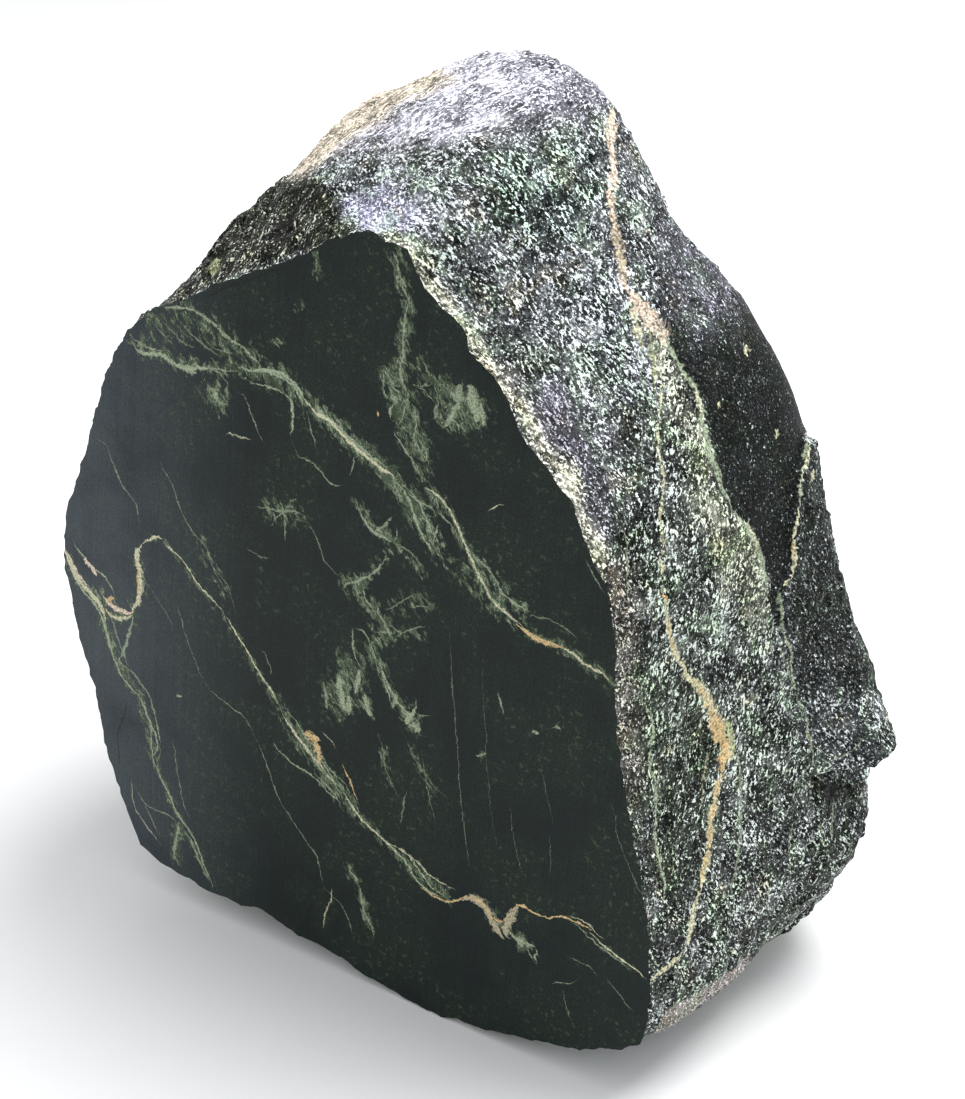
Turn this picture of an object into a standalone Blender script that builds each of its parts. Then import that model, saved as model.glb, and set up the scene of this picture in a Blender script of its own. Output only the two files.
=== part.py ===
"""Raw jade boulder: one block of nephrite with a sawn face and rough sides.

The boulder is lofted around an axis that runs back from the sawn face, which
looks along -Y. Each station is an outline at one depth behind that face. One
corner is broken off along a plane, spalls are cut out of the rough sides, and
the underside is worn flat where the boulder stands. Lengths are in
millimetres and the finished mesh is in metres.
"""

import math

import bmesh
import bpy
from mathutils import Matrix, Vector, noise

MM = 0.001
NAME = "jade_boulder"

# The loft's axis, in the plane of the sawn face.
AXIS_X = -45.0
AXIS_Z = 120.0
COLUMN_WIDTH = 6.3

# Outline of the sawn face (x, z), clockwise from its apex.
SAWN_OUTLINE = (
    (-38, 256), (-33, 254), (-25, 253), (-21, 246), (-14, 239), (-6, 235), (-4, 228), (4, 223),
    (9, 217), (12, 209), (21, 200), (30, 192), (34, 182), (42, 167), (45, 151), (45, 130),
    (47, 117), (51, 98), (56, 76), (59, 60), (60, 35), (59, 27), (57, 21), (50, 15), (43, 12),
    (36, 8), (22, 5), (7, 1), (-1, -1), (-9, -1), (-16, -3), (-32, -2), (-48, 0), (-56, 3),
    (-73, 4), (-81, 6), (-91, 8), (-98, 6), (-116, 6), (-125, 8), (-133, 8), (-142, 13),
    (-149, 30), (-154, 46), (-157, 70), (-161, 83), (-164, 99), (-166, 112), (-165, 124),
    (-163, 134), (-159, 142), (-152, 158), (-146, 174), (-140, 189), (-130, 204), (-121, 213),
    (-104, 221), (-94, 227), (-76, 236), (-62, 243), (-50, 251),
)

# How far back the jagged edge of the saw cut carries on, and over how many
# columns it is then evened out.
JAGGED_DEPTH = 8.0
EVENED_COLUMNS = 3

# Stations behind the sawn face: depth, then the radius at every ten degrees,
# anticlockwise from +X as seen from the front.
STATIONS = (
    (30.0, (
        97, 97, 100, 104, 108, 112, 120, 135, 157, 152, 145, 137,
        131, 126, 126, 127, 127, 127, 127, 125, 125, 130, 139, 143,
        136, 131, 127, 125, 127, 132, 139, 149, 143, 125, 110, 100)),
    (70.0, (
        107, 106, 108, 112, 117, 123, 132, 146, 167, 166, 156, 149,
        139, 136, 134, 135, 135, 133, 131, 129, 128, 130, 137, 140,
        134, 130, 127, 125, 127, 132, 139, 150, 146, 134, 120, 111)),
    (100.0, (
        113, 108, 107, 110, 115, 119, 123, 126, 142, 155, 151, 146,
        141, 136, 132, 130, 128, 126, 124, 122, 121, 123, 128, 131,
        127, 126, 125, 124, 126, 131, 138, 151, 147, 141, 129, 125)),
    (122.0, (
        94, 90, 89, 91, 94, 97, 101, 104, 117, 134, 136, 134,
        130, 125, 121, 118, 116, 114, 112, 110, 109, 110, 113, 115,
        114, 115, 116, 117, 119, 123, 131, 139, 132, 120, 110, 101)),
    (142.0, (
        71, 68, 67, 68, 70, 73, 77, 83, 93, 104, 108, 107,
        104, 101, 98, 95, 93, 91, 89, 87, 86, 87, 88, 89,
        87, 87, 88, 90, 93, 98, 104, 107, 101, 92, 84, 77)),
)

# The back closes like a dome: depth, and the share of the last station left.
BACK = ((155.0, 0.60), (161.0, 0.30), (163.0, 0.0))

# Rings in each span between two knots of the loft, and which spans use only
# every second or fourth column.
RINGS = (2, 4, 6, 5, 4, 5, 4, 3, 1)
HALF_SPAN = 6
QUARTER_SPAN = 7

# Planes that break corners off: three points each (x, depth, z).
CHISELS = (
    ((-120, 0, 213), (-45, 0, 254), (-88, 33, 256)),
)

# Swellings: angle, depth, reach round the side, reach in depth, height.
LUMPS = (
    (343.0, 98.0, 9.0, 14.0, 10.5),
    (315.0, 13.0, 7.0, 9.0, 3.5),
    (317.0, 105.0, 5.0, 8.0, 3.5),
    (109.0, 70.0, 5.0, 12.0, 1.5),
    (114.0, 52.0, 5.0, 8.0, -2.0),
)

# Rough skin: size of the bumps and their height.
BUMPS = ((46.0, 1.6), (19.0, 0.8))
CALM_DEPTH = 16.0
ROUGHER_DEPTH = 110.0
BACK_ROUGHER = 1.4
SEED = Vector((3.7, 11.2, 5.1))

# A smooth slab lies sunk between the joints on the right: the direction it
# faces, its outline (depth, height across that direction) and how far it sinks.
SLAB_ANGLE = math.radians(35.0)
SLAB_OUTLINE = (
    (66, 72), (58, 54), (56, 45), (54, 32), (55, 22), (53, 12), (50, 3), (53, -9), (58, -18),
    (61, -27), (64, -36), (69, -55), (70, -39), (77, -39), (78, -29), (82, -21), (87, -13),
    (99, -6), (113, -10), (122, 10), (124, 45), (108, 78), (84, 74),
)
SLAB_REACH = (60.0, 240.0)
SLAB_SINK = 2.2
SLAB_SWELL = 0.5

# Spalls: the inner edge of each from start to end, and a point on its floor.
SPALLS = (
    ((66, 64, 80), (72, 120, 72), (75, 64, 46)),
    ((-96, 38, 244), (-92, 8, 234), (-112, 30, 233)),
    ((-168, 45, 160), (-169, 85, 98), (-162, 95, 163)),
    ((-66, 100, 269), (-118, 118, 225), (-78, 142, 222)),
    ((-133, 138, 171), (-122, 146, 92), (-161, 118, 130)),
    ((-14, 151, 173), (17, 148, 97), (44, 122, 136)),
    ((-153, 62, 46), (-136, 106, 36), (-112, 104, 10)),
)
SPALL_MARGIN = 24.0
SPALL_HEIGHT = 60.0

# Height of the worn flat in the loft's own frame.
FLAT_HEIGHT = -3.4
GROUND_SIZE = 400.0


def clear_scene():
    for thing in list(bpy.data.objects):
        bpy.data.objects.remove(thing, do_unlink=True)


def collection(name):
    made = bpy.data.collections.new(name)
    bpy.context.scene.collection.children.link(made)
    return made


def jade_material():
    """Near-black green nephrite, hardly polished."""
    material = bpy.data.materials.new("raw_nephrite")
    material.use_nodes = True
    shader = material.node_tree.nodes["Principled BSDF"]
    shader.inputs["Base Color"].default_value = (0.030, 0.042, 0.034, 1.0)
    shader.inputs["Roughness"].default_value = 0.55
    shader.inputs["Metallic"].default_value = 0.0
    material.diffuse_color = (0.030, 0.042, 0.034, 1.0)
    return material


def spline(a, b, c, d, t):
    """Catmull-Rom value between b and c."""
    return 0.5 * (2.0 * b + (c - a) * t + (2.0 * a - 5.0 * b + 4.0 * c - d) * t * t
                  + (3.0 * b - a - 3.0 * c + d) * t * t * t)


def sawn_columns():
    """Angle and radius of every column, evenly spaced along the sawn outline."""
    columns = []
    for index, start in enumerate(SAWN_OUTLINE):
        start = Vector(start)
        end = Vector(SAWN_OUTLINE[(index + 1) % len(SAWN_OUTLINE)])
        count = max(1, round((end - start).length / COLUMN_WIDTH))
        for step in range(count):
            reach = start.lerp(end, step / count) - Vector((AXIS_X, AXIS_Z))
            columns.append((math.atan2(reach.y, reach.x), reach.length))
    columns.reverse()
    return columns


def listed_radius(radii, angle):
    """Smooth value of a list spaced evenly round the full turn."""
    count = len(radii)
    place = (angle / math.tau) % 1.0 * count
    index = int(place)
    around = [radii[(index + step) % count] for step in (-1, 0, 1, 2)]
    return spline(*around, place - index)


def column_knots(columns, index):
    """Depth and radius of one column at every knot, from front to back."""
    angle, radius = columns[index]
    near = range(index - EVENED_COLUMNS, index + EVENED_COLUMNS + 1)
    evened = sum(columns[place % len(columns)][1] for place in near) / len(near)
    listed = [(depth, listed_radius(radii, angle)) for depth, radii in STATIONS]
    share = JAGGED_DEPTH / listed[0][0]
    jagged_end = (JAGGED_DEPTH, evened * (1.0 - share) + listed[0][1] * share)
    last = listed[-1][1]
    back = [(depth, shrink * last) for depth, shrink in BACK]
    return [(0.0, radius), jagged_end] + listed + back


def along_knots(knots, span, t):
    picked = [knots[min(max(span + step, 0), len(knots) - 1)] for step in (-1, 0, 1, 2)]
    depth = spline(*[knot[0] for knot in picked], t)
    radius = spline(*[knot[1] for knot in picked], t)
    return depth, max(radius, 0.0)


def lump_height(angle, depth, radius):
    total = 0.0
    for lump_angle, lump_depth, reach_round, reach_deep, height in LUMPS:
        turn = (angle - math.radians(lump_angle) + math.pi) % math.tau - math.pi
        round_share = turn * radius / reach_round
        deep_share = (depth - lump_depth) / reach_deep
        total += height * math.exp(-round_share ** 2 - deep_share ** 2)
    return total


def skin_height(x, depth, z, swell):
    """Rough skin, calm next to the saw cut."""
    calm = min(depth / CALM_DEPTH, 1.0)
    calm += BACK_ROUGHER * min(max((depth - ROUGHER_DEPTH) / 20.0, 0.0), 1.0)
    total = 0.0
    for size, height in BUMPS:
        total += height * noise.noise(Vector((x, depth, z)) / size + SEED)
    return calm * swell * total


def chisel_limit(angle, depth):
    """How far out the chisel planes leave the stone."""
    limit = 1e9
    out = Vector((math.cos(angle), 0.0, math.sin(angle)))
    start = Vector((AXIS_X, depth, AXIS_Z))
    for points in CHISELS:
        a, b, c = [Vector(point) for point in points]
        normal = (b - a).cross(c - a).normalized()
        if normal.dot(a - Vector((AXIS_X, 60.0, AXIS_Z))) < 0.0:
            normal.negate()
        slope = normal.dot(out)
        if slope > 0.05:
            limit = min(limit, normal.dot(a - start) / slope)
    return limit


def surface_point(columns, index, span, t, inset=0.0, swell=1.0):
    angle = columns[index][0]
    depth, radius = along_knots(column_knots(columns, index), span, t)
    if radius > 1.0:
        radius += lump_height(angle, depth, radius)
        radius = min(radius, chisel_limit(angle, depth))
        x = AXIS_X + radius * math.cos(angle)
        z = AXIS_Z + radius * math.sin(angle)
        radius += skin_height(x, depth, z, swell) - inset
    x = AXIS_X + radius * math.cos(angle)
    z = AXIS_Z + radius * math.sin(angle)
    return Vector((x, depth, z)) * MM


def ring(mesh, columns, every, span, t, inset, swell):
    """Points round the stone, as (column, vertex)."""
    made = []
    for index in range(0, len(columns), every):
        made.append((index, mesh.verts.new(surface_point(columns, index, span, t, inset, swell))))
    return made


def bridge(mesh, front, back):
    """Skin two rings. The back one may skip some of the front one's columns."""
    place = {index: order for order, (index, _) in enumerate(front)}
    for order, (index, corner) in enumerate(back):
        following, far_corner = back[(order + 1) % len(back)]
        first = place[index]
        last = place[following] if following > index else len(front)
        face = [front[step % len(front)][1] for step in range(first, last + 1)]
        mesh.faces.new(face + [far_corner, corner])


def loft(name, inset=0.0, swell=1.0):
    """The whole stone, or a core under it when inset is above zero."""
    columns = sawn_columns()
    mesh = bmesh.new()
    previous = ring(mesh, columns, 1, 0, 0.0, inset, swell)
    mesh.faces.new([vertex for _, vertex in previous])
    for span, count in enumerate(RINGS[:-1]):
        every = 1
        if span >= HALF_SPAN:
            every = 2
        if span >= QUARTER_SPAN:
            every = 4
        for step in range(1, count + 1):
            current = ring(mesh, columns, every, span, step / count, inset, swell)
            bridge(mesh, previous, current)
            previous = current
    tip = mesh.verts.new(surface_point(columns, 0, len(RINGS) - 1, 1.0))
    for order, (_, corner) in enumerate(previous):
        mesh.faces.new((corner, previous[(order + 1) % len(previous)][1], tip))
    return mesh_object(name, mesh)


def mesh_object(name, mesh):
    bmesh.ops.recalc_face_normals(mesh, faces=mesh.faces)
    data = bpy.data.meshes.new(name)
    mesh.to_mesh(data)
    mesh.free()
    return bpy.data.objects.new(name, data)


def cut(target, cutter, name):
    modifier = target.modifiers.new(name, "BOOLEAN")
    modifier.operation = "DIFFERENCE"
    modifier.solver = "EXACT"
    modifier.object = cutter


def slab_prism():
    """Prism over the sunken slab, square to the side it lies on."""
    out = Vector((math.cos(SLAB_ANGLE), 0.0, math.sin(SLAB_ANGLE)))
    across = Vector((-math.sin(SLAB_ANGLE), 0.0, math.cos(SLAB_ANGLE)))
    mesh = bmesh.new()
    corners = []
    for depth, height in SLAB_OUTLINE:
        place = Vector((AXIS_X, depth, AXIS_Z)) + across * height + out * SLAB_REACH[0]
        corners.append(mesh.verts.new(place * MM))
    base = mesh.faces.new(corners)
    raised = bmesh.ops.extrude_face_region(mesh, geom=[base])["geom"]
    moved = [item for item in raised if isinstance(item, bmesh.types.BMVert)]
    length = (SLAB_REACH[1] - SLAB_REACH[0]) * MM
    bmesh.ops.translate(mesh, verts=moved, vec=out * length)
    return mesh_object("slab_prism", mesh)


def spall_block(number, start, end, floor):
    """Block with one edge from start to end and a side through floor."""
    start, end, floor = Vector(start), Vector(end), Vector(floor)
    run = (end - start).normalized()
    along = floor - start
    along -= run * along.dot(run)
    width = along.length
    along.normalize()
    out = run.cross(along)
    if out.dot(start - Vector((AXIS_X, 60.0, AXIS_Z))) < 0.0:
        out.negate()
    length = (end - start).length
    size = Vector((length + 2 * SPALL_MARGIN, width + SPALL_MARGIN, SPALL_HEIGHT))
    centre = start + run * length / 2 + along * size.y / 2 + out * size.z / 2
    turn = Matrix((run, along, out)).transposed().to_4x4()
    place = Matrix.Translation(centre * MM) @ turn @ Matrix.Diagonal((*(size * MM), 1.0))
    mesh = bmesh.new()
    bmesh.ops.create_cube(mesh, size=1.0, matrix=place)
    return mesh_object(f"spall_{number}", mesh)


def ground_block():
    """Takes away whatever hangs below the worn flat."""
    mesh = bmesh.new()
    centre = Vector((AXIS_X, 80.0, FLAT_HEIGHT - GROUND_SIZE / 2)) * MM
    size = Matrix.Diagonal((GROUND_SIZE * MM, GROUND_SIZE * MM, GROUND_SIZE * MM, 1.0))
    bmesh.ops.create_cube(mesh, size=1.0, matrix=Matrix.Translation(centre) @ size)
    return mesh_object("ground_block", mesh)


def centre_on_ground(stone, others):
    """Put the origin at the middle of the stone's footprint box."""
    graph = bpy.context.evaluated_depsgraph_get()
    corners = [stone.matrix_world @ Vector(corner) for corner in stone.evaluated_get(graph).bound_box]
    low = Vector([min(corner[axis] for corner in corners) for axis in range(3)])
    high = Vector([max(corner[axis] for corner in corners) for axis in range(3)])
    shift = Vector((-(low.x + high.x) / 2, -(low.y + high.y) / 2, -low.z))
    for thing in [stone] + others:
        thing.location = shift


def build():
    clear_scene()
    stone = loft(NAME)
    collection("raw_jade_boulder").objects.link(stone)
    stone.data.materials.append(jade_material())

    prism = slab_prism()
    core = loft("slab_core", SLAB_SINK, SLAB_SWELL)
    ground = ground_block()
    spalls = [spall_block(number, *points) for number, points in enumerate(SPALLS)]
    cutters = [prism, core, ground] + spalls
    store = collection("cutters")
    for cutter in cutters:
        store.objects.link(cutter)
        cutter.hide_render = True
        cutter.display_type = "WIRE"

    cut(prism, core, "leave_the_slab")
    cut(stone, prism, "sunken_slab")
    for number, spall in enumerate(spalls):
        cut(stone, spall, f"spall_{number}")
    cut(stone, ground, "worn_flat")
    centre_on_ground(stone, cutters)


build()
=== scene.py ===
"""Looks of a raw jade boulder: a dark sawn face with pale veins and rough, flecked sides.

One operator dresses the boulder in a finely broken skin with its own two
materials, and one sets the stage. The veins, plumes and regions are drawn in
the camera's frame and laid onto the stone from there.
"""

import math

import bmesh
import bpy
import numpy as np
from bpy.props import FloatProperty, FloatVectorProperty, IntProperty, PointerProperty
from mathutils import Euler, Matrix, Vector, noise
from mathutils.bvhtree import BVHTree


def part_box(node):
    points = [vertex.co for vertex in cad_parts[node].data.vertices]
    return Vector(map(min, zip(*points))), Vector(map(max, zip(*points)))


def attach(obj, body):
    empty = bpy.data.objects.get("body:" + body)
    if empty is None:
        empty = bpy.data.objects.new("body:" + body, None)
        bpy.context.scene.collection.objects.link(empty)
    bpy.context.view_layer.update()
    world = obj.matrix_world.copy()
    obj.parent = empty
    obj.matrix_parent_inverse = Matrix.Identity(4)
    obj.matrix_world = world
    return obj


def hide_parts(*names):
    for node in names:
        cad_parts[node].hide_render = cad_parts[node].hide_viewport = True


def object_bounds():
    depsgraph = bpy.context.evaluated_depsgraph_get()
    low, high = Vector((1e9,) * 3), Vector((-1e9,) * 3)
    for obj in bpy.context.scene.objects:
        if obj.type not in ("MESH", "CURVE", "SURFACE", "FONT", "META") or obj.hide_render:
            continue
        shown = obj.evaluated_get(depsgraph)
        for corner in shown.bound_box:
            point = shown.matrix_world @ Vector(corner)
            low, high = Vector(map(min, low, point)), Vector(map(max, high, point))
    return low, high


bl_info = {
    "name": "Raw jade boulder",
    "version": (1, 0, 0),
    "blender": (4, 5, 0),
    "location": "3D View > Sidebar > Jade",
    "description": "Dresses the boulder in its sawn, veined and broken surfaces",
    "category": "Object",
}

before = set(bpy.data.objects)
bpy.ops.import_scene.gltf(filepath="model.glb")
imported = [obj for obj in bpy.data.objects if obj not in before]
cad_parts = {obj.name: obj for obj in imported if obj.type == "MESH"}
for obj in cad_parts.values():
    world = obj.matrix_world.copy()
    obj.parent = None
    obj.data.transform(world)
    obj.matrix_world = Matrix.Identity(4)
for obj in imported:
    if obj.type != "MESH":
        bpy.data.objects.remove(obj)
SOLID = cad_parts["jade_boulder"]
CAD_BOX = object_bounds()

MM = 0.001
PIECE = "raw_jade_boulder"

# The sawn face is the plane where the boulder is lowest in Y. Faces within the
# gap of it belong to it, and to the worn flat where they are that near the ground.
SAWN_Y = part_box("jade_boulder")[0].y
SAWN_SLOT = 1
FLAT_GAP = 0.01 * MM
FLAT_CORNERS = 12


def direction(azimuth, elevation):
    """From the stone towards the camera."""
    level = math.cos(elevation)
    return Vector((math.sin(azimuth) * level, -math.cos(azimuth) * level, math.sin(elevation)))


# The camera, whose frame the strokes and outlines are drawn in, in pixels. Where
# a frame point misses the stone, this many points are tried on each ring round it.
FRAME_WIDTH, FRAME_HEIGHT = 965, 1099
SENSOR = 36.0
LENS = 80.0
AZIMUTH = math.radians(35.0)
ELEVATION = math.radians(28.0)
DISTANCE = 0.684
TARGET = Vector((0.04545, SAWN_Y, 0.17264))
FOCAL_PIXELS = LENS / SENSOR * FRAME_HEIGHT
RING_POINTS = 24

# The rough side is laid out on a plane square to the camera's axis.
SIDE_OUT = direction(AZIMUTH, ELEVATION)
SIDE_ACROSS = Vector((math.cos(AZIMUTH), math.sin(AZIMUTH), 0.0))
SIDE_UP = SIDE_OUT.cross(SIDE_ACROSS)
EYE = TARGET + SIDE_OUT * DISTANCE

# Mesh edges are halved this many times at most. Faces that lean less than this
# away from the camera count as the near side.
REFINE_ROUNDS = 6
NEAR_LEAN = -0.05

# Away from the named regions the rough skin has this tone: the middle of its
# lightness, how widely it swings either way in powers of e, and its tint.
BODY_MEDIAN = 0.085
BODY_SPREAD = 1.15
BODY_TINT = (0.96, 1.0, 1.0)

# Region borders waver this many millimetres, in waves of the bend size. The far
# side drifts in tone, and breaks there are as wide as the break size.
REGION_WAVER = 3.0
# Noise vectors take their offsets from the clock unless they are given a seed.
NOISE_SEED = 1795475316
BEND_SIZE = 0.009
DRIFT_SIZE = 0.045
BREAK_SIZE = 0.055
BREAK_BEND_SIZE = 0.016
DARK_ABOVE = 0.62
STAINED_ABOVE = 0.72

# Regions whose blades stand upright, the ones where they lie along the top, and
# the one whose skin is nearly smooth.
UPRIGHT = ("low", "ledge", "strip", "olive")
RAKED = ("top", "shaded_top_end", "peach")
CALM = "slab"

# A vein thins out over the taper in millimetres at each end, and two veins on
# one track keep the gap apart.
TAPER = 4.0
TRACK_GAP = 2.5
HALO_TINTS = ("sage", "yellow", "cream", "pale")
PAINT_ORDER = ("black", "green", "sage", "pale", "yellow", "cream", "peach", "tan", "orange")

# The middle tone of a noise, and the scales of the noises in waves a metre.
MIDDLE = (0.5, 0.5, 0.5)
WIDE_WAVES, FINE_WAVES = 95.0, 620.0
FACE_RAGS, SIDE_RAGS = 480.0, 300.0
FACE_CLOUDS, SIDE_CLOUDS = 38.0, 90.0
FACE_SPECKS, SIDE_SPECKS = 1900.0, 1150.0
SIDE_CROWDS, SIDE_SPECKS_AND_GLINTS, SIDE_SEAMS = 250.0, 1700.0, 9.0

# Angles in degrees and cell sizes of the stretched noises, in millimetres on
# the sawn face and in metres on the rough side.
WISPS = (-58.0, (4.2, 2.3, 1.0))
STRANDS = ((-50.0, (8.0, 1.7, 1.0)), (-94.0, (4.0, 1.4, 1.0)))
SAW_LINES = (84.0, (50.0, 0.45, 1.0))
LYING_BLADES = (-45.0, (0.0019, 0.0009, 0.0011))
UPRIGHT_BLADES = (80.0, (0.0019, 0.0010, 0.0011))
RAKED_BLADES = (30.0, (0.0036, 0.0009, 0.0011))

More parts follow.
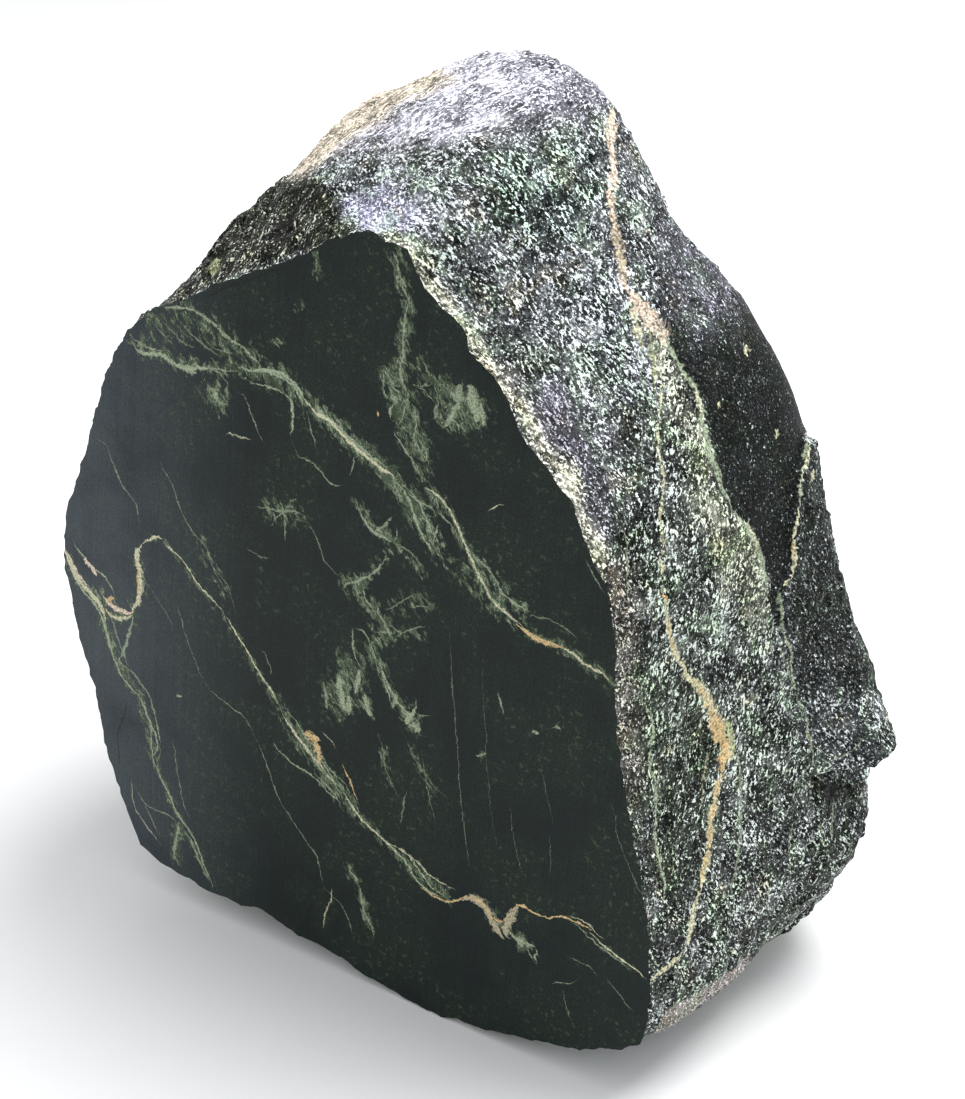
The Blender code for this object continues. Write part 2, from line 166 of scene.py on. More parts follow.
# Strokes: tint, half width in millimetres, strength, frame points.
FACE_VEINS = (
    # Upper stream.
    ("sage", 0.9, 1, (131, 344), (140, 352), (150, 354), (162, 355), (170, 360), (178, 364), (188, 369),
     (202, 368), (212, 371)),
    ("sage", 0.5, 0.7, (131, 338), (142, 345), (154, 350), (165, 351)),
    ("sage", 0.4, 0.8, (202, 366), (212, 369), (220, 374), (226, 381), (231, 390)),
    ("sage", 0.45, 0.7, (206, 370), (216, 369), (226, 372), (236, 371)),
    ("sage", 0.6, 0.95, (236, 366), (250, 370), (262, 371), (272, 374), (281, 377), (289, 384), (296, 393),
     (302, 403), (303, 414), (305, 423)),
    ("sage", 0.95, 1, (258, 369), (268, 371), (278, 372), (286, 377), (293, 384), (299, 392), (303, 399),
     (309, 408)),
    ("sage", 0.65, 0.9, (243, 377), (256, 384), (268, 388), (278, 392), (284, 395), (290, 402), (292, 412),
     (293, 424), (291, 437)),
    ("cream", 0.8, 1, (304, 402), (318, 415), (327, 419), (335, 426), (347, 440), (360, 451), (371, 460),
     (381, 469), (390, 475), (397, 481)),
    ("sage", 0.6, 0.85, (390, 476), (399, 486), (405, 495), (410, 504), (413, 512), (417, 524), (423, 536),
     (429, 545), (433, 556)),
    ("sage", 0.45, 0.8, (404, 492), (414, 498), (420, 503), (428, 505), (434, 512), (437, 522), (436, 532),
     (432, 541)),
    ("sage", 0.4, 0.7, (436, 512), (445, 519), (452, 527), (458, 538), (462, 547)),
    ("sage", 0.35, 0.7, (419, 512), (424, 519), (431, 524), (434, 533), (433, 545)),
    ("sage", 0.6, 0.8, (318, 410), (328, 418), (340, 428), (349, 438), (361, 447), (372, 457), (384, 468)),
    # Web at its right.
    ("sage", 0.45, 0.75, (396, 401), (391, 409), (391, 418), (398, 424), (403, 418), (404, 408),
     (401, 400)),
    ("sage", 0.4, 0.7, (410, 402), (415, 410), (417, 420), (415, 431), (411, 440)),
    ("sage", 0.4, 0.7, (394, 430), (399, 440), (404, 448), (409, 456), (414, 466), (419, 475), (424, 484)),
    ("sage", 0.4, 0.65, (413, 432), (420, 442), (426, 452), (428, 462), (431, 470)),
    ("sage", 0.4, 0.65, (384, 366), (385, 378), (384, 390), (388, 399), (392, 404)),
    ("sage", 0.35, 0.6, (414, 386), (423, 388), (428, 394), (434, 400), (438, 408)),
    # Its lower end.
    ("sage", 0.5, 0.7, (397, 482), (412, 494), (420, 505), (426, 517), (431, 530), (440, 546)),
    ("cream", 0.6, 0.85, (424, 488), (435, 494), (443, 502), (449, 511), (456, 523), (465, 545), (475, 570),
     (483, 583), (490, 595), (500, 606), (510, 615), (525, 629)),
    ("orange", 1.2, 1, (516, 622), (525, 630), (535, 637), (545, 642), (556, 646), (565, 648)),
    ("cream", 0.6, 0.9, (560, 647), (572, 654), (580, 660), (590, 667), (600, 672), (608, 678), (613, 684)),
    ("sage", 0.5, 0.7, (462, 540), (470, 552), (481, 562), (490, 571), (496, 581), (500, 590), (510, 600),
     (520, 607), (533, 613)),
    ("sage", 0.3, 0.5, (528, 616), (540, 618), (550, 620), (561, 626), (570, 632), (578, 642)),
    # Web above its left end.
    ("sage", 0.6, 0.75, (160, 307), (175, 307), (193, 309), (203, 316), (212, 323), (222, 333), (233, 341),
     (243, 347), (252, 356), (261, 366)),
    ("sage", 0.3, 0.5, (164, 323), (174, 334), (185, 344), (197, 348)),
    ("sage", 0.35, 0.5, (178, 322), (187, 329), (197, 340), (206, 347), (214, 352), (222, 360)),
    ("sage", 0.3, 0.45, (150, 318), (158, 330), (168, 340), (178, 352)),
    ("sage", 0.3, 0.45, (205, 340), (218, 349), (230, 352), (243, 362)),
    # Threads below it.
    ("sage", 0.3, 0.55, (232, 386), (243, 394), (250, 411), (256, 427), (261, 437), (266, 444), (275, 448)),
    ("cream", 0.45, 0.6, (225, 435), (232, 434), (241, 437), (252, 439)),
    ("sage", 0.35, 0.6, (292, 440), (300, 457), (310, 461), (322, 473), (335, 484), (347, 486)),
    ("sage", 0.3, 0.6, (305, 408), (308, 418), (310, 427), (314, 440), (318, 450)),
    ("sage", 0.35, 0.6, (358, 452), (354, 460), (353, 470), (350, 478)),
    ("sage", 0.75, 0.8, (355, 502), (360, 513), (364, 519), (370, 528), (377, 534), (386, 539), (393, 542)),
    ("sage", 0.35, 0.6, (392, 542), (402, 547), (410, 552), (418, 563)),
    ("sage", 0.45, 0.6, (372, 536), (379, 530), (386, 526), (393, 517)),
    ("sage", 0.45, 0.6, (393, 542), (396, 534), (395, 526)),
    # Star.
    ("sage", 0.5, 0.55, (256, 507), (268, 508), (283, 511), (296, 512), (304, 515)),
    ("sage", 0.6, 0.55, (281, 500), (283, 510), (284, 522), (284, 533), (286, 541)),
    ("sage", 0.35, 0.5, (268, 525), (276, 517), (288, 508), (298, 500)),
    # Middle.
    ("sage", 0.35, 0.45, (308, 520), (314, 532), (319, 546), (322, 557), (329, 566), (335, 573), (344, 579),
     (352, 583)),
    ("sage", 0.3, 0.5, (245, 546), (256, 554), (262, 557), (272, 558)),
    ("sage", 0.6, 0.65, (340, 583), (352, 583), (362, 580), (371, 575), (381, 566), (390, 558)),
    # Hairs on the left.
    ("sage", 0.25, 0.55, (88, 434), (98, 440), (106, 446), (114, 465), (122, 486), (129, 495), (135, 502),
     (138, 512), (139, 525)),
    ("sage", 0.25, 0.55, (160, 461), (166, 474), (172, 486), (181, 511), (187, 522), (193, 532), (206, 548),
     (213, 563), (218, 577), (224, 592)),
    ("sage", 0.2, 0.4, (196, 536), (210, 560), (226, 584), (232, 600), (238, 618)),
    # The W at the left edge.
    ("cream", 1.5, 1, (64, 546), (69, 560), (75, 573), (82, 584), (91, 594), (98, 604), (103, 613),
     (106, 622)),
    ("peach", 0.75, 0.9, (68, 553), (73, 564), (79, 575), (86, 584), (94, 592)),
    ("sage", 0.7, 0.95, (66, 556), (72, 570), (78, 583), (88, 597), (96, 607), (103, 620), (107, 632),
     (112, 652), (117, 664), (122, 675)),
    ("peach", 1.5, 0.95, (84, 557), (88, 563), (93, 570), (97, 577)),
    ("sage", 0.5, 0.95, (72, 538), (76, 546), (81, 554), (88, 562), (97, 571), (105, 577), (110, 585),
     (114, 593), (117, 601)),
    ("peach", 1.3, 0.95, (101, 592), (105, 599), (112, 605), (120, 610), (127, 614), (133, 612)),
    ("cream", 1, 0.95, (103, 604), (108, 612), (116, 617), (125, 619), (133, 614)),
    ("cream", 1.3, 1, (132, 615), (137, 605), (140, 594), (140, 582), (139, 570), (138, 560), (140, 551),
     (143, 544)),
    ("orange", 0.6, 0.75, (137, 598), (138, 586), (137, 574), (136, 563)),
    ("sage", 0.4, 0.7, (137, 606), (142, 594), (143, 580), (141, 568)),
    ("cream", 0.8, 0.95, (141, 547), (146, 541), (152, 538), (158, 537), (164, 538)),
    ("sage", 0.7, 0.75, (133, 616), (130, 628), (127, 640), (123, 653), (119, 664)),
    ("sage", 0.4, 0.6, (110, 612), (115, 626), (118, 640), (124, 655), (130, 668)),
    # Long diagonal vein.
    ("cream", 0.35, 0.9, (163, 541), (172, 549), (181, 558), (190, 570), (198, 583), (212, 599),
     (225, 614)),
    ("cream", 0.45, 0.95, (225, 614), (232, 624), (237, 633), (245, 647), (252, 660), (260, 673),
     (268, 687), (274, 697), (279, 706)),
    ("sage", 0.3, 0.6, (257, 648), (263, 652), (268, 660), (271, 668), (272, 677)),
    ("cream", 0.5, 0.9, (279, 706), (285, 719), (291, 729), (299, 740), (306, 748), (314, 759), (322, 768),
     (330, 779), (338, 789)),
    ("sage", 0.45, 0.8, (272, 741), (279, 751), (287, 759), (297, 767), (306, 772), (318, 782), (330, 794),
     (343, 803)),
    ("sage", 0.4, 0.75, (284, 716), (292, 730), (302, 744), (314, 762), (327, 777), (340, 789), (350, 802)),
    ("sage", 0.35, 0.7, (286, 708), (296, 722), (305, 738), (318, 752), (332, 772), (345, 786), (354, 802)),
    ("sage", 0.4, 0.7, (302, 742), (309, 752), (320, 760), (329, 773), (334, 785), (340, 797)),
    ("sage", 0.35, 0.6, (312, 770), (322, 782), (332, 792), (340, 803), (346, 812)),
    ("orange", 0.55, 0.95, (342, 763), (347, 775), (351, 786), (355, 796), (358, 803)),
    ("cream", 0.3, 0.7, (322, 731), (327, 737), (332, 743), (336, 750)),
    ("cream", 0.45, 0.95, (340, 790), (354, 808), (362, 819), (372, 829), (385, 842), (394, 849),
     (402, 857)),
    ("sage", 0.5, 0.9, (388, 846), (398, 853), (406, 861), (411, 870), (415, 878), (421, 886), (430, 893),
     (441, 898)),
    ("cream", 0.35, 0.8, (400, 849), (409, 856), (416, 866), (424, 876), (430, 886), (437, 892),
     (446, 897)),
    ("cream", 0.35, 0.8, (386, 842), (397, 847), (415, 860), (424, 868), (430, 875), (443, 884),
     (456, 891)),
    ("orange", 0.5, 0.9, (418, 886), (429, 894), (440, 900), (455, 901), (462, 899), (470, 897)),
    # Knot and its tail.
    ("tan", 2.2, 1, (462, 901), (470, 899), (478, 902), (485, 907), (490, 915), (494, 923), (500, 931),
     (505, 938)),
    ("orange", 0.8, 0.9, (466, 899), (474, 900), (482, 904), (488, 911), (493, 918), (500, 921), (506, 919),
     (511, 913)),
    ("tan", 2.1, 1, (519, 906), (514, 911), (511, 918), (507, 925), (506, 932), (512, 940)),
    ("pale", 1.7, 1, (508, 927), (514, 936), (521, 942), (529, 945), (536, 947)),
    ("tan", 1.5, 0.9, (490, 916), (494, 925), (500, 934), (505, 939)),
    ("orange", 0.7, 1, (512, 910), (517, 905), (524, 906), (531, 911), (540, 915), (549, 917)),
    ("orange", 0.45, 0.95, (540, 915), (549, 917), (557, 916), (563, 916), (572, 920), (582, 925),
     (593, 931)),
    ("cream", 0.3, 0.7, (566, 915), (576, 918), (588, 925), (597, 934), (606, 941)),
    ("cream", 0.45, 0.95, (588, 932), (600, 942), (608, 949), (615, 955), (626, 963), (640, 973),
     (648, 981)),
    ("sage", 0.35, 0.7, (568, 919), (576, 925), (585, 933), (595, 942), (607, 952), (620, 962), (632, 972)),
    ("sage", 0.5, 0.85, (534, 946), (538, 952), (536, 958), (538, 964)),
    ("sage", 0.35, 0.7, (524, 944), (529, 951), (533, 958), (537, 964)),
    # Left edge.
    ("sage", 0.6, 1, (103, 622), (107, 634), (112, 652), (117, 664), (122, 675), (131, 687), (141, 698)),
    ("sage", 0.5, 1, (141, 698), (146, 710), (150, 722), (155, 734), (157, 745), (153, 757)),
    ("sage", 0.4, 0.9, (136, 690), (142, 703), (147, 716), (151, 728), (151, 742), (152, 755), (158, 767)),
    ("sage", 0.5, 0.95, (152, 757), (158, 770), (164, 783), (170, 797), (175, 810), (183, 823), (191, 834),
     (197, 847), (202, 860), (208, 874), (214, 889)),
    ("sage", 0.4, 0.7, (118, 656), (125, 665), (133, 672), (141, 684), (148, 695), (153, 708), (156, 722),
     (159, 735), (160, 745)),
    ("sage", 0.3, 0.6, (161, 742), (159, 754), (157, 765), (162, 772)),
    ("sage", 0.3, 0.55, (172, 735), (176, 760), (180, 785), (184, 805), (190, 822)),
    # Loops.
    ("cream", 0.3, 0.7, (131, 779), (132, 792), (135, 806), (141, 818), (148, 829), (156, 838), (163, 846)),
    ("cream", 0.25, 0.6, (145, 802), (149, 813), (154, 825), (158, 832), (163, 838)),
    ("cream", 0.25, 0.6, (134, 783), (140, 796), (148, 806), (157, 810), (166, 814), (172, 818),
     (178, 823)),
    # Lower left.
    ("sage", 0.8, 0.8, (179, 820), (177, 832), (175, 844), (175, 856), (178, 864)),
    ("sage", 0.55, 0.8, (183, 828), (190, 840), (198, 857), (204, 870), (210, 884)),
    # Falling thread.
    ("sage", 0.2, 0.4, (150, 586), (152, 591), (164, 610), (170, 622), (175, 633)),
    ("sage", 0.22, 0.6, (177, 602), (179, 610), (183, 629), (193, 656), (197, 668), (202, 679)),
    ("sage", 0.22, 0.6, (202, 679), (213, 692), (225, 702), (235, 710), (245, 718), (252, 730), (258, 741)),
    ("sage", 0.25, 0.65, (258, 741), (263, 755), (268, 768), (273, 783), (279, 798), (288, 814), (298, 829),
     (306, 841), (314, 852), (319, 868), (323, 883)),
    ("cream", 0.4, 0.7, (331, 886), (331, 897), (327, 906), (325, 918), (323, 931)),
    ("sage", 0.3, 0.5, (323, 884), (332, 895), (341, 905), (350, 925), (352, 935)),
    ("sage", 0.8, 0.7, (348, 864), (351, 873), (356, 879), (360, 886)),
    ("sage", 0.6, 0.65, (359, 884), (362, 895), (363, 906), (367, 916), (372, 926), (375, 938)),
    # Plume stems.
    ("sage", 0.4, 0.85, (351, 626), (352, 636), (353, 648), (356, 660), (361, 670)),
    ("sage", 0.35, 0.7, (352, 627), (360, 630), (366, 636), (370, 645), (374, 655), (378, 668), (382, 680)),
    ("sage", 0.5, 0.9, (379, 660), (383, 670), (387, 681), (392, 691), (397, 701), (404, 709), (411, 717),
     (417, 728)),
    ("sage", 0.45, 0.8, (382, 674), (386, 686), (390, 697), (393, 708)),
    ("sage", 0.45, 0.8, (409, 717), (414, 712), (417, 706), (416, 698)),
    ("sage", 0.45, 0.6, (364, 586), (366, 598), (372, 608), (380, 616), (386, 630)),
    ("sage", 0.5, 0.6, (373, 632), (384, 632), (395, 634)),
    ("sage", 0.3, 0.55, (395, 637), (405, 634), (416, 629), (428, 624)),
    ("sage", 0.3, 0.5, (383, 609), (395, 604), (405, 598), (416, 592)),
    ("sage", 0.3, 0.5, (410, 606), (420, 605), (434, 608)),
    ("sage", 0.3, 0.5, (415, 714), (424, 716), (432, 715)),
    # Dashes and flecks.
    ("sage", 0.25, 0.45, (378, 732), (383, 752), (386, 770), (392, 785), (400, 800)),
    ("sage", 0.25, 0.45, (406, 738), (412, 752), (420, 766), (427, 776), (436, 788), (447, 800)),
    ("sage", 0.35, 0.5, (407, 788), (404, 800), (403, 812), (400, 826)),
    ("sage", 0.25, 0.45, (420, 745), (424, 770), (430, 800), (436, 826)),
    ("cream", 0.45, 0.75, (487, 512), (496, 509), (505, 506)),
    ("sage", 0.5, 0.7, (498, 692), (500, 702), (503, 716)),
    ("sage", 0.25, 0.5, (545, 727), (556, 725), (562, 722)),
    # Hairlines.
    ("sage", 0.18, 0.4, (450, 620), (452, 680), (456, 740), (461, 800), (467, 850), (471, 875)),
    ("sage", 0.16, 0.35, (506, 790), (511, 830), (517, 858), (522, 882)),
    ("sage", 0.18, 0.4, (549, 832), (551, 850), (551, 884)),
    ("sage", 0.18, 0.45, (606, 798), (618, 835), (630, 868), (640, 892), (648, 908)),
    ("sage", 0.16, 0.3, (540, 760), (546, 790), (553, 830)),
    ("sage", 0.14, 0.3, (480, 640), (484, 720), (490, 800), (497, 860)),
    # Right corner and edge.
    ("sage", 0.3, 0.5, (548, 983), (557, 981), (568, 982), (578, 979)),
    ("sage", 0.22, 0.45, (560, 984), (564, 998), (568, 1012), (572, 1024)),
    ("sage", 0.25, 0.5, (566, 955), (577, 961), (590, 967), (600, 978)),
    ("sage", 0.25, 0.5, (606, 975), (615, 987), (621, 995), (625, 1002), (632, 1009), (637, 1014)),
    ("sage", 0.35, 0.6, (583, 556), (590, 567), (597, 579), (602, 588), (607, 597)),
    # Upper right.
    ("sage", 0.5, 0.6, (408, 302), (405, 315), (404, 330), (403, 345), (403, 358), (400, 370), (402, 384),
     (409, 400)),
    # Steps of the saw, drawn on the flat face as dark lines of painted shade.
    ("black", 0.5, 0.75, (196, 301), (222, 290), (250, 280), (285, 268), (318, 257), (336, 247)),
    ("black", 0.35, 0.9, (127, 702), (123, 716), (120, 732), (119, 750), (120, 775)),
    ("sage", 0.4, 0.6, (389, 248), (394, 254), (397, 262), (399, 275), (402, 284), (406, 293), (409, 306)),
    ("sage", 0.35, 0.6, (409, 384), (420, 385), (433, 382)),
    ("sage", 0.45, 0.6, (441, 408), (450, 416), (458, 424), (460, 436)),
    ("sage", 0.4, 0.55, (433, 383), (437, 392), (438, 404), (433, 412)),
)

# Oval patches: tint, centre, half width and half height in millimetres, lean in degrees, strength.
FACE_PATCHES = (
    ("orange", (311, 737), 3, 2.4, 0, 0.95),
    ("orange", (317, 751), 1.7, 4.4, 15, 0.9),
    ("pale", (341, 694), 1.9, 5.6, 6, 0.95),
    ("pale", (348, 704), 1.6, 3.6, -6, 0.9),
    ("pale", (357, 681), 1.5, 4.4, -8, 0.85),
    ("pale", (368, 704), 1.5, 3.6, 14, 0.85),
    ("sage", (326, 696), 0.8, 4.4, 4, 0.6),
    ("pale", (411, 718), 1.7, 3, -30, 0.9),
    ("pale", (416, 727), 1.9, 1.5, 0, 0.9),
    ("sage", (396, 702), 1, 2.6, -18, 0.7),
    ("pale", (452, 415), 1.6, 4.6, -28, 0.85),
    ("pale", (473, 403), 2.9, 5.4, 12, 0.85),
    ("pale", (459, 394), 2, 2.8, 0, 0.7),
    ("pale", (481, 414), 1.5, 3.4, 10, 0.75),
    ("sage", (436, 412), 1, 2.4, 0, 0.55),
    ("pale", (190, 369), 2.8, 1.7, -12, 0.95),
    ("pale", (216, 396), 1.5, 1.8, 0, 0.85),
    ("sage", (213, 390), 2.8, 1, 10, 0.5),
    ("sage", (221, 404), 2.6, 1.1, 0, 0.5),
    ("sage", (228, 393), 0.8, 2, 0, 0.5),
    ("pale", (322, 414), 1.8, 1.6, -30, 0.8),
    ("green", (272, 382), 4, 2.2, -30, 0.6),
    ("green", (397, 412), 3.4, 3, -20, 0.7),
    ("green", (412, 505), 3, 5, -25, 0.7),
    ("green", (389, 474), 3, 3.6, -30, 0.7),
    ("pale", (179, 697), 1.4, 0.8, 15, 0.8),
    ("pale", (535, 732), 1.5, 0.9, 0, 0.8),
    ("sage", (482, 755), 1.5, 1, 40, 0.7),
    ("sage", (558, 727), 1, 0.5, 0, 0.6),
    ("orange", (379, 414), 0.5, 0.6, 0, 0.9),
    ("orange", (110, 600), 1.8, 1.4, 30, 0.95),
)

# Plumes: half width in millimetres, strength, frame points.
FACE_PLUMES = (
    (2.2, 0.45, (132, 342), (165, 355), (205, 367), (240, 368)),
    (3.0, 0.55, (240, 368), (275, 374), (300, 396), (322, 414)),
    (3.2, 0.75, (322, 414), (350, 440), (380, 466), (405, 495)),
    (3.8, 0.6, (405, 495), (422, 520), (436, 548)),
    (2.7, 0.45, (436, 548), (470, 580), (500, 615)),
    (5.4, 0.38, (150, 322), (195, 322), (235, 352), (268, 372)),
    (4.1, 0.55, (212, 392), (218, 402)),
    (2.2, 0.7, (396, 255), (407, 300), (404, 345), (398, 372)),
    (4.6, 0.72, (394, 378), (404, 412), (418, 448)),
    (2.4, 0.5, (418, 448), (428, 485), (436, 510)),
    (4.6, 0.7, (446, 392), (462, 404), (474, 416)),
    (3.2, 0.6, (448, 418), (466, 424)),
    (4.3, 0.45, (420, 372), (446, 392)),
    (1.6, 0.55, (300, 306), (299, 312)),
    (1.4, 0.6, (316, 258), (316, 274)),
    (1.4, 0.5, (275, 341), (281, 343)),
    (1.6, 0.6, (356, 503), (375, 528), (395, 542), (425, 575)),
    (1.6, 0.5, (340, 583), (365, 577), (390, 556)),
    (3.8, 0.62, (352, 585), (374, 610), (386, 636)),
    (3.0, 0.5, (386, 636), (372, 652), (362, 668)),
    (3.5, 0.6, (347, 660), (344, 684), (340, 712)),
    (2.4, 0.5, (356, 668), (362, 694), (368, 712)),
    (1.6, 0.5, (326, 684), (328, 712)),
    (1.9, 0.55, (372, 645), (388, 684), (402, 708)),
    (3.0, 0.6, (402, 706), (414, 722)),
    (2.7, 0.6, (272, 694), (290, 726), (312, 758)),
    (3.5, 0.6, (298, 736), (322, 770), (352, 806)),
    (1.6, 0.5, (352, 806), (378, 836), (402, 857)),
    (2.2, 0.65, (398, 853), (424, 878), (448, 896)),
    (2.4, 0.5, (490, 912), (502, 926)),
    (1.9, 0.5, (506, 930), (528, 944)),
    (2.2, 0.6, (102, 620), (118, 662), (142, 700), (152, 750)),
    (1.6, 0.5, (152, 752), (176, 812), (206, 870)),
    (2.2, 0.6, (176, 822), (177, 860)),
    (1.6, 0.6, (349, 866), (358, 884), (370, 926)),
    (1.6, 0.55, (424, 488), (450, 512), (482, 582), (510, 615)),
    (2.2, 0.5, (464, 545), (490, 578), (524, 610)),
    (1.6, 0.6, (520, 628), (560, 646), (610, 682)),
    (3.8, 0.35, (270, 508), (296, 514)),
    (3.2, 0.35, (396, 605), (425, 600)),
    (2.4, 0.4, (386, 640), (420, 630)),
    (1.9, 0.4, (380, 740), (392, 785)),
    (1.9, 0.35, (410, 745), (432, 790)),
    (2.7, 0.5, (96, 590), (112, 612), (132, 614)),
    (1.4, 0.4, (166, 545), (212, 600), (262, 678), (284, 716)),
    (3.2, 0.25, (196, 536), (226, 592)),
)

SIDE_VEINS = (
    # Peach vein and its fork.
    ("peach", 1.5, 0.8, (613, 101), (612, 120), (611, 137), (612, 156), (613, 176), (611, 193), (612, 214),
     (615, 234), (618, 246), (620, 258), (622, 268), (625, 280), (631, 291), (637, 302), (644, 314),
     (652, 328)),
    ("tan", 1.1, 0.7, (612, 212), (615, 234), (618, 246), (620, 258), (622, 268), (625, 280)),
    ("peach", 3.4, 1, (634, 288), (640, 300), (647, 312), (656, 326)),
    ("peach", 4.2, 0.55, (636, 296), (646, 312), (656, 328), (668, 346)),
    ("peach", 2.2, 0.9, (636, 298), (643, 309), (652, 322)),
    ("cream", 1.4, 0.7, (632, 300), (635, 318), (640, 338), (646, 356)),
    ("yellow", 1.2, 0.5, (646, 330), (652, 352), (656, 376), (658, 400)),
    # Thin lines below the fork.
    ("cream", 0.45, 0.8, (652, 345), (661, 362), (662, 390), (660, 433), (662, 470), (662, 510), (662, 550),
     (663, 572), (664, 592)),
    ("sage", 0.4, 0.55, (636, 345), (641, 370), (648, 395), (655, 420), (660, 440)),
    ("orange", 0.8, 1, (660, 590), (664, 596), (667, 606)),
    ("sage", 0.4, 0.75, (663, 598), (660, 607), (656, 617), (653, 627), (651, 640)),
    # Lower main vein.
    ("cream", 1.1, 1, (665, 600), (668, 619), (671, 633), (674, 648), (680, 662), (688, 674)),
    ("orange", 0.6, 0.6, (667, 610), (670, 628), (673, 644), (678, 658)),
    ("cream", 2.3, 1, (684, 668), (693, 680), (704, 694), (712, 710), (718, 726), (723, 740), (727, 754),
     (724, 768)),
    ("orange", 1.3, 0.65, (690, 676), (700, 690), (709, 706), (715, 722)),
    ("orange", 2.7, 0.95, (709, 708), (716, 724), (721, 738), (724, 750), (723, 762), (721, 776)),
    ("yellow", 1.6, 0.9, (722, 714), (728, 730), (732, 744), (732, 756), (728, 768)),
    ("cream", 1.6, 1, (722, 765), (720, 780), (717, 805), (714, 822), (710, 840), (705, 872), (700, 895)),
    ("orange", 1.1, 0.8, (723, 768), (720, 784), (717, 806), (713, 826), (710, 842), (705, 870),
     (701, 888)),
    ("cream", 1.3, 0.95, (700, 890), (697, 900), (693, 915), (690, 930), (687, 940), (684, 949)),
    ("cream", 1.1, 0.9, (686, 944), (682, 952), (678, 958), (671, 965), (664, 970), (656, 976), (650, 982)),
    # Rim of the slab.
    ("sage", 1.3, 0.8, (655, 325), (662, 334), (668, 343), (677, 358), (684, 371), (692, 384), (699, 396)),
    ("cream", 1, 0.7, (690, 380), (696, 392), (700, 402), (703, 412), (705, 425)),
    ("sage", 1.3, 0.75, (700, 410), (704, 425), (708, 440), (711, 455), (715, 470), (722, 487), (732, 507)),
    ("sage", 1.1, 0.75, (732, 505), (741, 518), (750, 531), (755, 543), (759, 556), (763, 570), (768, 585)),
    ("cream", 0.7, 0.8, (742, 515), (748, 526), (754, 538), (758, 550)),
    ("sage", 0.5, 0.7, (758, 552), (762, 570), (766, 590), (771, 604)),
    # Right branch.
    ("sage", 0.8, 0.9, (807, 436), (805, 450), (803, 465), (801, 480), (800, 495), (799, 508)),
    ("cream", 0.55, 0.9, (810, 442), (806, 456), (803, 470), (800, 488)),
    ("cream", 0.9, 1, (799, 505), (797, 520), (794, 535), (793, 548), (794, 562), (795, 577)),
    ("orange", 0.5, 0.9, (793, 538), (791, 548), (792, 560)),
    ("cream", 0.5, 0.75, (797, 575), (790, 580), (783, 587)),
    ("sage", 0.9, 0.8, (781, 585), (780, 598), (781, 612), (783, 625), (785, 637)),
    ("sage", 0.6, 0.9, (784, 632), (788, 648), (791, 669), (792, 683), (794, 697)),
    ("sage", 0.5, 0.9, (793, 695), (798, 704), (804, 713), (807, 728), (809, 745), (811, 757), (811, 768)),
    ("sage", 0.4, 0.6, (781, 636), (783, 655), (788, 672), (791, 690)),
    # Pale threads.
    ("cream", 0.35, 0.7, (707, 520), (716, 533), (724, 543), (732, 554)),
    ("sage", 0.65, 0.95, (641, 700), (646, 708), (651, 716), (652, 738), (651, 763), (655, 780), (655, 801),
     (655, 836), (659, 858), (663, 879), (664, 912)),
    ("sage", 0.45, 0.7, (624, 530), (627, 545), (629, 564), (630, 588), (631, 611)),
    ("sage", 0.5, 0.6, (741, 730), (740, 760), (740, 800), (738, 840), (733, 880), (726, 910)),
    ("sage", 0.5, 0.65, (794, 815), (792, 830), (790, 846), (788, 862)),
    ("sage", 0.5, 0.65, (830, 800), (832, 815), (832, 832), (834, 845)),
    ("cream", 0.35, 0.6, (712, 735), (706, 760), (704, 790), (703, 815)),
    # Nose and shelf.
    ("sage", 0.4, 0.6, (811, 760), (803, 772), (799, 785), (795, 800)),
    ("sage", 0.5, 0.5, (812, 768), (828, 762), (843, 755), (855, 748), (866, 738)),
    # A dark crack in the ledge, painted shade in a notch and a painted shadow line under the nose.
    ("black", 1, 0.9, (302, 178), (300, 192), (298, 206), (296, 220)),
    ("black", 1.4, 0.9, (625, 815), (631, 824), (636, 834)),
    ("black", 1.2, 0.8, (812, 772), (822, 784), (838, 790), (858, 786)),
)

SIDE_PATCHES = (
    ("cream", (747, 353), 1, 1.9, 0, 0.9),
    ("cream", (775, 433), 0.8, 1.6, 0, 0.6),
    ("cream", (721, 405), 0.5, 1.1, 0, 0.6),
    ("yellow", (215, 266), 2.4, 3.2, 0, 0.6),
    ("cream", (812, 475), 0.9, 2, 0, 0.6),
    ("cream", (843, 495), 0.8, 1.4, 0, 0.5),
)

